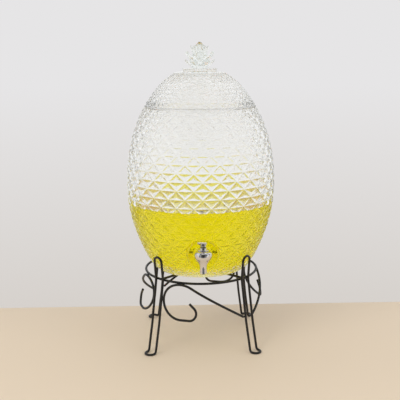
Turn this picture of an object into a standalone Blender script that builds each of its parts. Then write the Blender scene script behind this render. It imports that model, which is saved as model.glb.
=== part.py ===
"""Glass beverage dispenser: an egg-shaped pressed-glass jar with a star-cut relief, a domed lid
with a crown of glass leaves, a plated lever tap through a moulded boss, and a welded wire stand.

All lengths are in metres, +Z is up and the tap faces -Y. The stand's axis is the Z axis until the
last step, which moves everything so that the middle of the object's box stands on the origin.
"""

import math

import bmesh
import bpy
from mathutils import Matrix, Vector

for item in list(bpy.data.objects):
    bpy.data.objects.remove(item, do_unlink=True)

# Sizes of the wire stand
rod_radius = 0.0021
weld_gap = 0.0003
ring_inset = 0.0308
ring_height = 0.1280
leg_rod_offset = 0.00845
leg_foot_spread = 0.0376
leg_ankle_spread = 0.0249
leg_knee_spread = 0.0152
leg_apex_spread = 0.0081
leg_apex_rise = 0.0408
leg_ankle_bend = 0.0050
leg_knee_bend = 0.1500
leg_waist_bend = 0.0400
foot_flat_depth = 0.0003
scroll_top_drop = 0.0025
scroll_half_width = 0.0330
scroll_half_height = 0.0298
scroll_curl_radius = 0.0123
scroll_curl_inset = 0.0184
scroll_curl_turn = math.radians(135)
scroll_tip_length = 0.0110

# Sizes of the glass jar
seat_gap = 0.0003
jar_radius = 0.1302
jar_wall = 0.0055
floor_thickness = 0.0080
floor_round = 0.0160
foot_ring_inset = 0.0110
foot_ring_rise = 0.0030
base_corner_height = 0.0020
relief_depth = 0.0015
relief_start_height = 0.0060
relief_peak_radius = 0.0720
seam_height = 0.2892
lid_rise = 0.0574
boss_radius = 0.0255
boss_flare = 0.0030
boss_lip = 0.0090
boss_edge = 0.0010
boss_setback = 0.0116
boss_glass = 0.0100
boss_pocket_radius = 0.0160
tap_hole_radius = 0.0080
tap_hole_height = 0.0523

# Sizes of the lid and its crown
skirt_depth = 0.0080
skirt_clearance = 0.0008
skirt_wall = 0.0040
lid_wall = 0.0050
lid_crown_glass = 0.0075
collar_radius = 0.0300
collar_height = 0.0064
collar_root_rise = 0.0020
collar_lip = 0.0012
crown_height = 0.0445
crown_reach = 0.0260
leaf_width = 0.0182
leaf_thickness = 0.0055

# Sizes of the tap
shank_radius = 0.0070
shank_bore_radius = 0.0050
shank_length = 0.0375
flange_radius = 0.0125
flange_thickness = 0.0030
tap_axis_reach = 0.0138
body_radius = 0.0136
body_height = 0.0390
nozzle_drop = 0.0258
nozzle_bore_radius = 0.0038
valve_seat_drop = 0.0070
valve_seat_radius = 0.0066
chamber_radius = 0.0085
washer_radius = 0.0125
outer_washer_thickness = 0.0020
inner_washer_thickness = 0.0020
nut_flats = 0.0200
nut_thickness = 0.0060
nut_chamfer = 0.0010
fit_gap = 0.0003
bonnet_plug_depth = 0.0040
bonnet_flange_radius = 0.0092
bonnet_flange_thickness = 0.0017
bonnet_edge = 0.0006
bonnet_neck_radius = 0.0055
bonnet_neck_height = 0.0030
stem_radius = 0.0016
stem_clearance = 0.0004
stem_collar_radius = 0.0050
stem_collar_thickness = 0.0015
stem_stud_radius = 0.0018
eye_thickness = 0.0030
eye_radius = 0.0034
seal_radius = 0.0062
seal_thickness = 0.0040
seal_edge = 0.0010
seal_cover = 0.0010
spring_wire_radius = 0.0004
spring_radius = 0.0041
pin_radius = 0.0011
cam_low = 0.0035
valve_lift = 0.0035
lever_length = 0.0170
lever_rise = 0.0082
lever_hub_width = 0.0092
lever_tip_width = 0.0150
lever_turn = math.radians(10)
lever_open_angle = math.radians(90)

# Counts and shares
leg_knee_share = 0.414
scroll_tail_share = 0.499
quarter_turn = math.pi / 2
half_turn = math.pi
full_turn = 2 * math.pi
leg_azimuths = {
    "leg_front_left": math.radians(225),
    "leg_front_right": math.radians(315),
    "leg_rear_right": math.radians(45),
    "leg_rear_left": math.radians(135),
}
scroll_azimuths = {
    "scroll_front": math.radians(270),
    "scroll_rear": math.radians(90),
}
flipped_scroll_azimuths = {
    "scroll_right": math.radians(0),
    "scroll_left": math.radians(180),
}
relief_columns = 28
outline_steps = 12
round_steps = 20
small_steps = 16
fine_steps = 10
bend_steps = 3
slight_bend_steps = 2
ring_steps = 44
rod_bevel_resolution = 2
spring_turns = 4
spring_turn_steps = 8
crown_leaves = 6
nut_sides = 6
smooth_angle = math.radians(35)
cut_overrun = 0.0020

# Height and radius of the egg's outline, as shares of egg_height and jar_radius
egg_outline_shares = (
    (0.000, 0.545),
    (0.017, 0.640),
    (0.074, 0.744),
    (0.183, 0.873),
    (0.305, 0.966),
    (0.442, 1.000),
    (0.600, 0.970),
    (0.742, 0.865),
    (0.860, 0.703),
    (0.946, 0.525),
    (1.000, 0.335),
)

# Radius and height of the tap body's outline, as shares of body_radius and body_height
spigot_outline_shares = (
    (0.385, 0.000),
    (0.385, 0.214),
    (0.470, 0.330),
    (0.650, 0.530),
    (0.840, 0.670),
    (0.970, 0.780),
    (1.000, 0.845),
    (0.970, 0.920),
    (0.860, 0.970),
    (0.690, 1.000),
)

# Radius and height of the crown's middle and bud, as shares of crown_reach and crown_height
bud_outline_shares = (
    (0.520, 0.000),
    (0.460, 0.170),
    (0.430, 0.480),
    (0.330, 0.720),
    (0.240, 0.900),
    (0.130, 1.000),
)

# Each tier of leaves: reach and height at the root, the bend and the tip, as shares of
# crown_reach and crown_height, the leaf's size, and the tier's turn as a share of the leaf spacing
leaf_tier_shares = (
    ((0.200, 0.060), (0.700, 0.110), (0.960, 0.330), 1.00, 0.00),
    ((0.200, 0.230), (0.740, 0.300), (1.000, 0.640), 1.00, 0.50),
    ((0.150, 0.450), (0.560, 0.520), (0.740, 0.860), 0.84, 0.00),
)

# Along a leaf from its root to its tip: place, width and thickness
leaf_station_shares = (
    (0.00, 0.50, 0.90),
    (0.45, 0.92, 1.00),
    (0.85, 0.92, 0.70),
    (1.00, 0.40, 0.35),
)

# Lever from the top of its cam over the tip to its underside, as shares of its length and rise
lever_side_shares = (
    (-0.275, 0.477),
    (0.206, 0.527),
    (0.667, 0.720),
    (0.900, 1.110),
    (1.000, 1.010),
    (0.800, 0.600),
    (0.500, 0.300),
    (0.275, -0.107),
    (0.103, -0.427),
)

# One side of the lever's bar seen from above, as shares of its length and half its tip's width
lever_plan_shares = (
    (0.400, 0.460),
    (0.800, 1.000),
    (0.950, 0.900),
    (1.118, 0.500),
)


def build_material(name, colour, roughness, metallic=0.0, transmission=0.0):
    """One Principled material for a sub-part."""
    material = bpy.data.materials.new(name)
    material.use_nodes = True
    shader = material.node_tree.nodes["Principled BSDF"]
    shader.inputs["Base Color"].default_value = (*colour, 1.0)
    shader.inputs["Roughness"].default_value = roughness
    shader.inputs["Metallic"].default_value = metallic
    shader.inputs["Transmission Weight"].default_value = transmission
    return material


clear_colour = (0.92, 0.94, 0.93)
plate_colour = (0.86, 0.86, 0.88)
coat_colour = (0.02, 0.02, 0.02)
rubber_colour = (0.75, 0.75, 0.73)
nut_colour = (0.85, 0.85, 0.83)
spring_colour = (0.60, 0.60, 0.62)


def mesh_object(name, points, faces, colour_material=None):
    """An object from points and faces, with its faces turned outwards."""
    mesh = bpy.data.meshes.new(name)
    mesh.from_pydata([tuple(point) for point in points], [], faces)
    work = bmesh.new()
    work.from_mesh(mesh)
    bmesh.ops.recalc_face_normals(work, faces=work.faces)
    work.to_mesh(mesh)
    work.free()
    piece = bpy.data.objects.new(name, mesh)
    bpy.context.scene.collection.objects.link(piece)
    if colour_material:
        piece.data.materials.append(colour_material)
    return piece


def band(lower, upper):
    """Faces between two rows of point numbers, either of which may be a single point."""
    count = max(len(lower), len(upper))
    faces = []
    for step in range(count):
        after = (step + 1) % count
        if len(lower) == 1:
            faces.append((lower[0], upper[after], upper[step]))
        elif len(upper) == 1:
            faces.append((lower[step], lower[after], upper[0]))
        else:
            faces.append((lower[step], lower[after], upper[after], upper[step]))
    return faces


def turned(name, outline, steps, closed=False, colour_material=None):
    """A solid turned about Z from (radius, height) points; closed joins the last to the first."""
    points = []
    rows = []
    for radius, height in outline:
        start = len(points)
        if radius == 0:
            points.append(Vector((0, 0, height)))
        else:
            for step in range(steps):
                angle = full_turn * step / steps
                points.append(Vector((radius * math.cos(angle), radius * math.sin(angle), height)))
        rows.append(list(range(start, len(points))))
    faces = []
    for lower, upper in zip(rows, rows[1:]):
        faces.extend(band(lower, upper))
    if closed:
        faces.extend(band(rows[-1], rows[0]))
    return mesh_object(name, points, faces, colour_material)


def cylinder(name, radius, low, high, steps, colour_material=None):
    """A plain cylinder about Z."""
    outline = ((0, low), (radius, low), (radius, high), (0, high))
    return turned(name, outline, steps, False, colour_material)


def extruded(name, outline, width, colour_material=None):
    """A flat outline in X and Z, made width thick along Y about its middle."""
    count = len(outline)
    points = [Vector((x, -width / 2, z)) for x, z in outline]
    points += [Vector((x, width / 2, z)) for x, z in outline]
    faces = [tuple(range(count)), tuple(range(2 * count - 1, count - 1, -1))]
    for step in range(count):
        after = (step + 1) % count
        faces.append((step, after, after + count, step + count))
    return mesh_object(name, points, faces, colour_material)


def place(piece, location=(0, 0, 0), tilt=0.0, turn=0.0):
    """Tilts a piece about X, turns it about Z, moves it and bakes the rotation into its mesh."""
    rotation = Matrix.Rotation(turn, 4, "Z") @ Matrix.Rotation(tilt, 4, "X")
    piece.data.transform(rotation)
    piece.location = location
    return piece


def combine(target, tool, operation):
    """Applies a Boolean of tool to target and removes tool."""
    bpy.context.view_layer.update()
    modifier = target.modifiers.new(operation.lower(), "BOOLEAN")
    modifier.operation = operation
    modifier.solver = "EXACT"
    modifier.object = tool
    evaluated = target.evaluated_get(bpy.context.evaluated_depsgraph_get())
    result = bpy.data.meshes.new_from_object(evaluated)
    target.modifiers.clear()
    target.data = result
    bpy.data.objects.remove(tool, do_unlink=True)
    return target


def smooth(piece):
    """Shades the round faces of a piece smooth and keeps its edges sharp."""
    piece.data.shade_smooth()
    piece.data.set_sharp_from_angle(angle=smooth_angle)
    return piece


def bent(corners, bends, steps, closed=False):
    """A wire's centre line: straight runs between corners, each rounded to its bend radius."""
    path = []
    count = len(corners)
    for number, corner in enumerate(corners):
        radius = bends[number]
        at_end = not closed and number in (0, count - 1)
        if at_end or radius == 0:
            path.append(corner)
            continue
        back = (corners[number - 1] - corner).normalized()
        ahead = (corners[(number + 1) % count] - corner).normalized()
        opening = back.angle(ahead)
        reach = radius / math.tan(opening / 2)
        centre = corner + (back + ahead).normalized() * radius / math.sin(opening / 2)
        first = corner + back * reach - centre
        last = corner + ahead * reach - centre
        sweep = first.angle(last)
        for step in range(steps[number] + 1):
            share = step / steps[number]
            near = first * math.sin((1 - share) * sweep)
            far = last * math.sin(share * sweep)
            path.append(centre + (near + far) / math.sin(sweep))
    return path


def wire(name, path, radius, resolution, closed=False, colour_material=None):
    """A round wire along a path, as a mesh object."""
    curve = bpy.data.curves.new(name, "CURVE")
    curve.dimensions = "3D"
    curve.bevel_depth = radius
    curve.bevel_resolution = resolution
    curve.use_fill_caps = not closed
    spline = curve.splines.new("POLY")
    spline.points.add(len(path) - 1)
    for point, target in zip(spline.points, path):
        point.co = (*target, 1.0)
    spline.use_cyclic_u = closed
    guide = bpy.data.objects.new(name, curve)
    bpy.context.scene.collection.objects.link(guide)
    bpy.context.view_layer.update()
    evaluated = guide.evaluated_get(bpy.context.evaluated_depsgraph_get())
    mesh = bpy.data.meshes.new_from_object(evaluated)
    bpy.data.objects.remove(guide, do_unlink=True)
    piece = bpy.data.objects.new(name, mesh)
    bpy.context.scene.collection.objects.link(piece)
    if colour_material:
        piece.data.materials.clear()
        piece.data.materials.append(colour_material)
    return piece


# Stand: the ring carries the jar's base, and the legs lean out below it and follow the jar above
ring_radius = jar_radius - ring_inset
leg_foot_reach = ring_radius + leg_foot_spread
leg_ankle_reach = ring_radius + leg_ankle_spread
leg_knee_reach = ring_radius + leg_knee_spread
leg_apex_reach = ring_radius + leg_apex_spread
leg_knee_height = leg_knee_share * ring_height
leg_apex_height = ring_height + leg_apex_rise
scroll_top_height = ring_height - scroll_top_drop
scroll_tail_height = scroll_tail_share * ring_height
leg_waist_reach = ring_radius + 2 * rod_radius + weld_gap
foot_rod_height = rod_radius - foot_flat_depth


def leg_reach_at(height):
    """Distance from the axis to a leg's rods at a height between knee and ring."""
    share = (ring_height - height) / (ring_height - leg_knee_height)
    return leg_waist_reach + share * (leg_knee_reach - leg_waist_reach)


def leg_path():
    """One closed hairpin of wire: foot loop, two rods and the round top, in the XZ plane."""
    side = leg_rod_offset
    outward = (
        (leg_foot_reach, foot_rod_height, leg_rod_offset, bend_steps),
        (leg_ankle_reach, foot_rod_height, leg_ankle_bend, bend_steps),
        (leg_knee_reach, leg_knee_height, leg_knee_bend, slight_bend_steps),
        (leg_waist_reach, ring_height, leg_waist_bend, slight_bend_steps),
        (leg_apex_reach, leg_apex_height, leg_rod_offset, bend_steps),
    )
    rising = [Vector((reach, side, height)) for reach, height, bend, steps in outward]
    falling = [Vector((reach, -side, height)) for reach, height, bend, steps in reversed(outward)]
    bends = [row[2] for row in outward]
    steps = [row[3] for row in outward]
    return bent(rising + falling, bends + bends[::-1], steps + steps[::-1], True)


def build_leg_mesh(colour_material):
    """A leg whose foot loop is ground flat on the table."""
    leg = wire("leg", leg_path(), rod_radius, rod_bevel_resolution, True, colour_material)
    size = leg_foot_reach + leg_rod_offset
    outline = ((0, 0), (0, -size), (size, -size), (size, 0))
    table = extruded("table", outline, size)
    return combine(leg, table, "DIFFERENCE")


def scroll_radius_at(height):
    """The scroll lies on a cone that clears the ring's outer side and follows the legs."""
    touch = 2 * rod_radius + weld_gap
    top = ring_radius + math.sqrt(touch**2 - (ring_height - scroll_top_height) ** 2)
    inset = leg_reach_at(scroll_top_height) - top
    return leg_reach_at(height) - inset


def scroll_point(along, height):
    """A point of the scroll from its place along the side and its height."""
    radius = scroll_radius_at(height)
    angle = along / radius
    return Vector((radius * math.cos(angle), radius * math.sin(angle), height))


def scroll_weld_along(height):
    """How far along the side a scroll reaches before it meets the near rod of a leg."""
    reach = leg_reach_at(height)
    radius = scroll_radius_at(height)
    angle = quarter_turn / 2 - math.atan(leg_rod_offset / reach)
    across = math.hypot(reach, leg_rod_offset) - radius
    touch = math.sqrt((2 * rod_radius + weld_gap) ** 2 - across**2)
    return radius * angle - touch


def scroll_path():
    """Tail, straight run, open ellipse and small curl, from the leg on +Y to the tip."""
    middle_height = scroll_top_height - scroll_half_height
    middle = scroll_half_width - scroll_weld_along(middle_height)
    tail_along = scroll_weld_along(scroll_tail_height)
    # The straight run leaves the ellipse where the ellipse's tangent points at the tail's end
    run = (tail_along - middle) / scroll_half_width
    fall = (scroll_tail_height - middle_height) / scroll_half_height
    leave = math.atan2(fall, run) + math.acos(1 / math.hypot(run, fall))
    path = []
    tail_steps = fine_steps // 2
    for step in range(tail_steps):
        share = step / tail_steps
        along = middle + scroll_half_width * math.cos(leave)
        height = middle_height + scroll_half_height * math.sin(leave)
        path.append(scroll_point(
            tail_along + share * (along - tail_along),
            scroll_tail_height + share * (height - scroll_tail_height),
        ))
    turn = half_turn + quarter_turn - leave
    for step in range(small_steps + 1):
        angle = leave + turn * step / small_steps
        along = middle + scroll_half_width * math.cos(angle)
        height = middle_height + scroll_half_height * math.sin(angle)
        path.append(scroll_point(along, height))
    curl_along = middle + scroll_half_width - scroll_curl_inset
    curl_height = middle_height - scroll_half_height + scroll_curl_radius
    curl_steps = fine_steps // 2
    for step in range(curl_steps + 1):
        angle = -quarter_turn + scroll_curl_turn * step / curl_steps
        along = curl_along + scroll_curl_radius * math.cos(angle)
        height = curl_height + scroll_curl_radius * math.sin(angle)
        path.append(scroll_point(along, height))
    end_angle = scroll_curl_turn - quarter_turn
    tip_along = along - scroll_tip_length * math.sin(end_angle)
    tip_height = height + scroll_tip_length * math.cos(end_angle)
    path.append(scroll_point(tip_along, tip_height))
    return path


def copies(source, azimuths):
    """Objects that share one mesh, turned about the stand's axis, one for each azimuth."""
    pieces = []
    for name, azimuth in azimuths.items():
        piece = bpy.data.objects.new(name, source.data)
        piece.rotation_euler = (0, 0, azimuth)
        bpy.context.scene.collection.objects.link(piece)
        pieces.append(piece)
    bpy.data.objects.remove(source, do_unlink=True)
    return pieces


def build_stand():
    """Ring, four hairpin legs, four scrolls and the cross under the jar."""
    coat = build_material("powder_coated_wire", coat_colour, 0.45, 0.3)
    ring_path = []
    for step in range(ring_steps):
        angle = full_turn * step / ring_steps
        ring_path.append(
            Vector((ring_radius * math.cos(angle), ring_radius * math.sin(angle), ring_height))
        )
    ring = wire("support_ring", ring_path, rod_radius, rod_bevel_resolution, True, coat)
    legs = copies(build_leg_mesh(coat), leg_azimuths)
    line = scroll_path()
    flipped_line = [Vector((point.x, -point.y, point.z)) for point in line]
    scrolls = []
    for path, azimuths in ((line, scroll_azimuths), (flipped_line, flipped_scroll_azimuths)):
        scroll = wire("scroll", path, rod_radius, rod_bevel_resolution, False, coat)
        scrolls += copies(scroll, azimuths)
    brace_end = ring_radius - rod_radius - weld_gap
    brace_start = rod_radius + weld_gap
    braces = []
    for name, start, azimuth in (
        ("brace_through", -brace_end, leg_azimuths["leg_rear_right"]),
        ("brace_half_front_right", brace_start, leg_azimuths["leg_front_right"]),
        ("brace_half_rear_left", brace_start, leg_azimuths["leg_rear_left"]),
    ):
        line = [Vector((start, 0, ring_height)), Vector((brace_end, 0, ring_height))]
        brace = wire(name, line, rod_radius, rod_bevel_resolution, False, coat)
        brace.rotation_euler = (0, 0, azimuth)
        braces.append(brace)
    return [smooth(piece) for piece in [ring, *legs, *scrolls, *braces]]


# Glass: the egg's outline is a smooth curve through its shares
egg_height = seam_height + lid_rise
base_height = ring_height + rod_radius + seat_gap


def egg_outline():
    """Points of the egg's outer outline as (radius, height), from the base to the collar."""
    knots = [
        Vector((share * jar_radius, base_height + rise * egg_height))
        for rise, share in egg_outline_shares
    ]
    outline = []
    last = len(knots) - 1
    for number in range(last):
        start = knots[number]
        end = knots[number + 1]
        before = knots[number - 1] if number > 0 else start
        after = knots[number + 2] if number + 1 < last else end
        leave = (end - before) / 2
        arrive = (after - start) / 2
        for step in range(outline_steps):
            share = step / outline_steps
            square = share**2
            cube = share**3
            outline.append(
                start * (2 * cube - 3 * square + 1)
                + leave * (cube - 2 * square + share)
                + end * (3 * square - 2 * cube)
                + arrive * (cube - square)
            )
    outline.append(knots[-1])
    return outline


egg_points = egg_outline()


def egg_place(height):
    """Radius of the egg and its outward normal (radial, upward) at a height."""
    for lower, upper in zip(egg_points, egg_points[1:]):
        if height <= upper.y:
            share = (height - lower.y) / (upper.y - lower.y)
            slope = (upper - lower).normalized()
            return lower.x + share * (upper.x - lower.x), slope.y, -slope.x
    slope = (egg_points[-1] - egg_points[-2]).normalized()
    return egg_points[-1].x, slope.y, -slope.x


def relief_rows(low, high):
    """Heights of the relief's node rows, each half a column's width above the last.

    The rows close up with the radius, so the diamonds stay square from the base to the collar.
    """
    reached = [0.0]
    for lower, upper in zip(egg_points, egg_points[1:]):
        start = max(low, lower.y)
        end = min(high, upper.y)
        if end > start:
            part = (upper - lower).length * (end - start) / (upper.y - lower.y)
            reached.append(reached[-1] + part / ((lower.x + upper.x) / 2))
        else:
            reached.append(reached[-1])
    count = round(reached[-1] * relief_columns / half_turn)
    heights = [low]
    for row in range(1, count):
        wanted = reached[-1] * row / count
        for number, (lower, upper) in enumerate(zip(egg_points, egg_points[1:])):
            if reached[number] <= wanted < reached[number + 1]:
                share = (wanted - reached[number]) / (reached[number + 1] - reached[number])
                start = max(low, lower.y)
                end = min(high, upper.y)
                heights.append(start + share * (end - start))
    heights.append(high)
    return heights


def relief_shell(name, low, high, below, above, colour_material):
    """A solid with the star-cut relief: grooves along every line of a lattice of triangles.

    Node rows lie relief_depth under the outline and every other row is turned by half a column.
    Each triangle between them rises to a point on the outline. The (radius, height) points in
    below and above close the solid under and over the relief.
    """
    points = []
    rows = []

    def add_row(radius, height, offset):
        start = len(points)
        if radius == 0:
            points.append(Vector((0, 0, height)))
        else:
            for column in range(relief_columns):
                angle = full_turn * (column + offset) / relief_columns
                points.append(Vector((radius * math.cos(angle), radius * math.sin(angle), height)))
        rows.append((list(range(start, len(points))), offset, height))

    for radius, height in below:
        add_row(radius, height, 0)
    first_relief = len(rows)
    heights = relief_rows(low, high)
    for number, height in enumerate(heights):
        radius, out, up = egg_place(height)
        at_edge = number in (0, len(heights) - 1)
        sink = 0 if at_edge else relief_depth * up
        add_row(radius - relief_depth * out, height - sink, number % 2 / 2)
    last_relief = len(rows) - 1
    top_offset = rows[-1][1]
    for radius, height in above:
        add_row(radius, height, top_offset)
    faces = []
    for number in range(len(rows) - 1):
        lower, offset, low_height = rows[number]
        upper, next_offset, high_height = rows[number + 1]
        if not first_relief <= number < last_relief:
            faces.extend(band(lower, upper))
            continue
        for column in range(relief_columns):
            after = (column + 1) % relief_columns
            if offset == 0:
                pair = (lower[column], lower[after], upper[column])
                other = (lower[after], upper[after], upper[column])
            else:
                pair = (lower[column], lower[after], upper[after])
                other = (lower[column], upper[after], upper[column])
            for corners in (pair, other):
                middle = sum((points[corner] for corner in corners), Vector()) / 3
                radius, out, up = egg_place(middle.z)
                if radius < relief_peak_radius:
                    faces.append(corners)
                    continue
                angle = math.atan2(middle.y, middle.x)
                peak = len(points)
                points.append(
                    Vector((radius * math.cos(angle), radius * math.sin(angle), middle.z))
                )
                for here, there in zip(corners, corners[1:] + corners[:1]):
                    faces.append((here, there, peak))
    return mesh_object(name, points, faces, colour_material)


def inner_radius_at(height, wall):
    """Radius of a wall's inner side at a height, when the wall is measured square to itself."""
    radius, out, up = egg_place(height)
    return radius - wall / out


foot_ring_radius = egg_points[0].x - foot_ring_inset
boss_reach = jar_radius - boss_setback
seam_level = base_height + seam_height
mouth_radius = inner_radius_at(seam_level, jar_wall)
tap_level = base_height + tap_hole_height


def build_jar():
    """Star-cut jar with a flat boss, a hole and an inner seat for the tap."""
    glass = build_material("pressed_soda_lime_glass", clear_colour, 0.03, 0.0, 1.0)
    rim_radius = egg_place(seam_level)[0]
    relief_low = base_height + relief_start_height
    corner_height = base_height + base_corner_height
    below = (
        (0, base_height + foot_ring_rise),
        (foot_ring_radius, base_height + foot_ring_rise),
        (foot_ring_radius + foot_ring_rise, base_height),
        (egg_points[0].x, base_height),
        (egg_place(corner_height)[0], corner_height),
    )
    above = ((rim_radius, seam_level), (0, seam_level))
    jar = relief_shell("jar", relief_low, seam_level - relief_depth, below, above, glass)
    boss_start = boss_reach / 2
    boss_length = boss_reach - boss_start
    boss = turned("boss", (
        (0, 0),
        (boss_radius + boss_flare, 0),
        (boss_radius + boss_flare, boss_length - boss_lip),
        (boss_radius, boss_length - boss_edge),
        (boss_radius - boss_edge, boss_length),
        (0, boss_length),
    ), round_steps)
    combine(jar, place(boss, (0, -boss_start, tap_level), quarter_turn), "UNION")
    floor = base_height + floor_thickness
    floor_radius = inner_radius_at(floor + floor_round, jar_wall)
    cavity = [(0, floor), (floor_radius - floor_round, floor)]
    for step in range(1, bend_steps + 1):
        angle = quarter_turn * step / bend_steps
        along = floor_radius - floor_round * (1 - math.sin(angle))
        cavity.append((along, floor + floor_round * (1 - math.cos(angle))))
    rise = seam_level - floor - floor_round
    for step in range(1, fine_steps + 1):
        height = floor + floor_round + rise * step / fine_steps
        cavity.append((inner_radius_at(height, jar_wall), height))
    cavity += [(mouth_radius, seam_level + cut_overrun), (0, seam_level + cut_overrun)]
    combine(jar, turned("cavity", cavity, relief_columns), "DIFFERENCE")
    pocket_end = boss_reach - boss_glass
    pocket = cylinder("pocket", boss_pocket_radius, 0, pocket_end, round_steps)
    combine(jar, place(pocket, (0, 0, tap_level), quarter_turn), "DIFFERENCE")
    hole = cylinder("hole", tap_hole_radius, 0, boss_reach + cut_overrun, round_steps)
    combine(jar, place(hole, (0, 0, tap_level), quarter_turn), "DIFFERENCE")
    return jar


def build_lid():
    """Domed lid: skirt that drops into the mouth, star-cut dome and a round collar."""
    glass = build_material("pressed_glass_lid", clear_colour, 0.03, 0.0, 1.0)
    low = seam_level + seat_gap
    high = base_height + egg_height
    rim_radius = egg_place(low)[0]
    skirt_radius = mouth_radius - skirt_clearance
    below = (
        (0, low - skirt_depth),
        (skirt_radius, low - skirt_depth),
        (skirt_radius, low),
        (rim_radius, low),
    )
    collar_top = high + collar_height
    above = (
        (collar_radius - collar_lip, high + collar_root_rise),
        (collar_radius - collar_lip, collar_top - 2 * collar_lip),
        (collar_radius, collar_top - collar_lip),
        (collar_radius, collar_top),
        (0, collar_top),
    )
    lid = relief_shell("lid", low + relief_depth, high, below, above, glass)
    inner_top = high - lid_crown_glass
    cavity = [(0, low - skirt_depth - cut_overrun)]
    cavity.append((skirt_radius - skirt_wall, low - skirt_depth - cut_overrun))
    cavity.append((skirt_radius - skirt_wall, low))
    for step in range(1, fine_steps + 1):
        height = low + (inner_top - low) * math.sin(quarter_turn * step / fine_steps)
        cavity.append((inner_radius_at(height, lid_wall), height))
    cavity.append((0, inner_top))
    combine(lid, turned("dome", cavity, relief_columns), "DIFFERENCE")
    return lid


def leaf_solid(root, bend, tip, size):
    """One thick leaf in the XZ plane: four-sided sections along a bent middle line."""
    width = leaf_width * size
    thickness = leaf_thickness * size
    points = []
    rows = []
    for place_share, width_share, thickness_share in leaf_station_shares:
        near = (1 - place_share) ** 2
        middle_share = 2 * place_share * (1 - place_share)
        far = place_share**2
        middle = root * near + bend * middle_share + tip * far
        along = ((bend - root) * (1 - place_share) + (tip - bend) * place_share).normalized()
        over = Vector((-along.z, 0, along.x)) * thickness * thickness_share / 2
        side = Vector((0, width * width_share / 2, 0))
        rows.append(list(range(len(points), len(points) + 4)))
        points += [middle + over, middle + side, middle - over, middle - side]
    faces = [tuple(rows[0]), tuple(rows[-1])]
    for lower, upper in zip(rows, rows[1:]):
        faces.extend(band(lower, upper))
    return mesh_object("leaf", points, faces)


def build_crown():
    """Finial of three tiers of thick leaves round a bud, joined into one solid."""
    glass = build_material("pressed_glass_crown", clear_colour, 0.03, 0.0, 1.0)
    base = base_height + egg_height + collar_height + seat_gap
    outline = [(0, 0)]
    outline += [(reach * crown_reach, rise * crown_height) for reach, rise in bud_outline_shares]
    outline += [(0, crown_height)]
    crown = turned("crown_knob", outline, 2 * crown_leaves, False, glass)
    spacing = full_turn / crown_leaves
    for root, bend, tip, size, turn in leaf_tier_shares:
        corners = [
            Vector((reach * crown_reach, 0, rise * crown_height))
            for reach, rise in (root, bend, tip)
        ]
        for number in range(crown_leaves):
            leaf = place(leaf_solid(*corners, size), turn=spacing * (number + turn))
            combine(crown, leaf, "UNION")
    crown.location = (0, 0, base)
    return crown


# Tap: it is built about its own upright axis, with Z zero at the hole in the jar
washer_face = boss_reach + seat_gap + outer_washer_thickness + seat_gap
tap_axis = washer_face + tap_axis_reach
tap_origin = Vector((0, -tap_axis, tap_level))
shoulder_height = body_height - nozzle_drop
bonnet_low = shoulder_height + fit_gap
bonnet_top = bonnet_low + bonnet_flange_thickness + bonnet_neck_height
pin_height = bonnet_top + fit_gap + cam_low
pin_hole_radius = pin_radius + fit_gap
lever_heading = -quarter_turn - lever_turn


def build_spigot_body(chrome):
    """Plated body: tapering chamber and nozzle, flange and the shank that goes through the jar."""
    outline = [(0, -nozzle_drop)]
    for radius, rise in spigot_outline_shares:
        outline.append((radius * body_radius, rise * body_height - nozzle_drop))
    outline.append((0, shoulder_height))
    body = turned("spigot_body", outline, round_steps, False, chrome)
    body.location = tap_origin
    flange_far = tap_axis_reach
    flange_near = flange_far - flange_thickness
    shank = turned("shank", (
        (0, 0),
        (shank_radius, 0),
        (shank_radius, flange_near - fit_gap),
        (flange_radius, flange_near),
        (flange_radius, flange_far),
        (shank_radius, flange_far),
        (shank_radius, shank_length),
        (0, shank_length),
    ), round_steps)
    combine(body, place(shank, tap_origin, -quarter_turn), "UNION")
    chamber = turned("chamber", (
        (0, -nozzle_drop - cut_overrun),
        (nozzle_bore_radius, -nozzle_drop - cut_overrun),
        (nozzle_bore_radius, -valve_seat_drop),
        (valve_seat_radius, -valve_seat_drop),
        (chamber_radius, 0),
        (chamber_radius, shoulder_height + cut_overrun),
        (0, shoulder_height + cut_overrun),
    ), round_steps)
    chamber.location = tap_origin
    combine(body, chamber, "DIFFERENCE")
    bore_end = shank_length + cut_overrun
    bore = cylinder("bore", shank_bore_radius, 0, bore_end, small_steps)
    combine(body, place(bore, tap_origin, -quarter_turn), "DIFFERENCE")
    return smooth(body)


def build_bonnet(chrome):
    """Cap of the tap: a plug in the chamber, a flange on the shoulder and a neck for the stem."""
    bore = stem_radius + stem_clearance
    plug_radius = chamber_radius - fit_gap
    flange_top = bonnet_low + bonnet_flange_thickness
    bonnet = turned("bonnet", (
        (bore, shoulder_height - bonnet_plug_depth),
        (plug_radius, shoulder_height - bonnet_plug_depth),
        (plug_radius, bonnet_low),
        (bonnet_flange_radius, bonnet_low),
        (bonnet_flange_radius, flange_top - bonnet_edge),
        (bonnet_flange_radius - bonnet_edge, flange_top),
        (bonnet_neck_radius, flange_top),
        (bonnet_neck_radius, bonnet_top),
        (bore, bonnet_top),
    ), round_steps, True, chrome)
    bonnet.location = tap_origin
    return smooth(bonnet)


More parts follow.
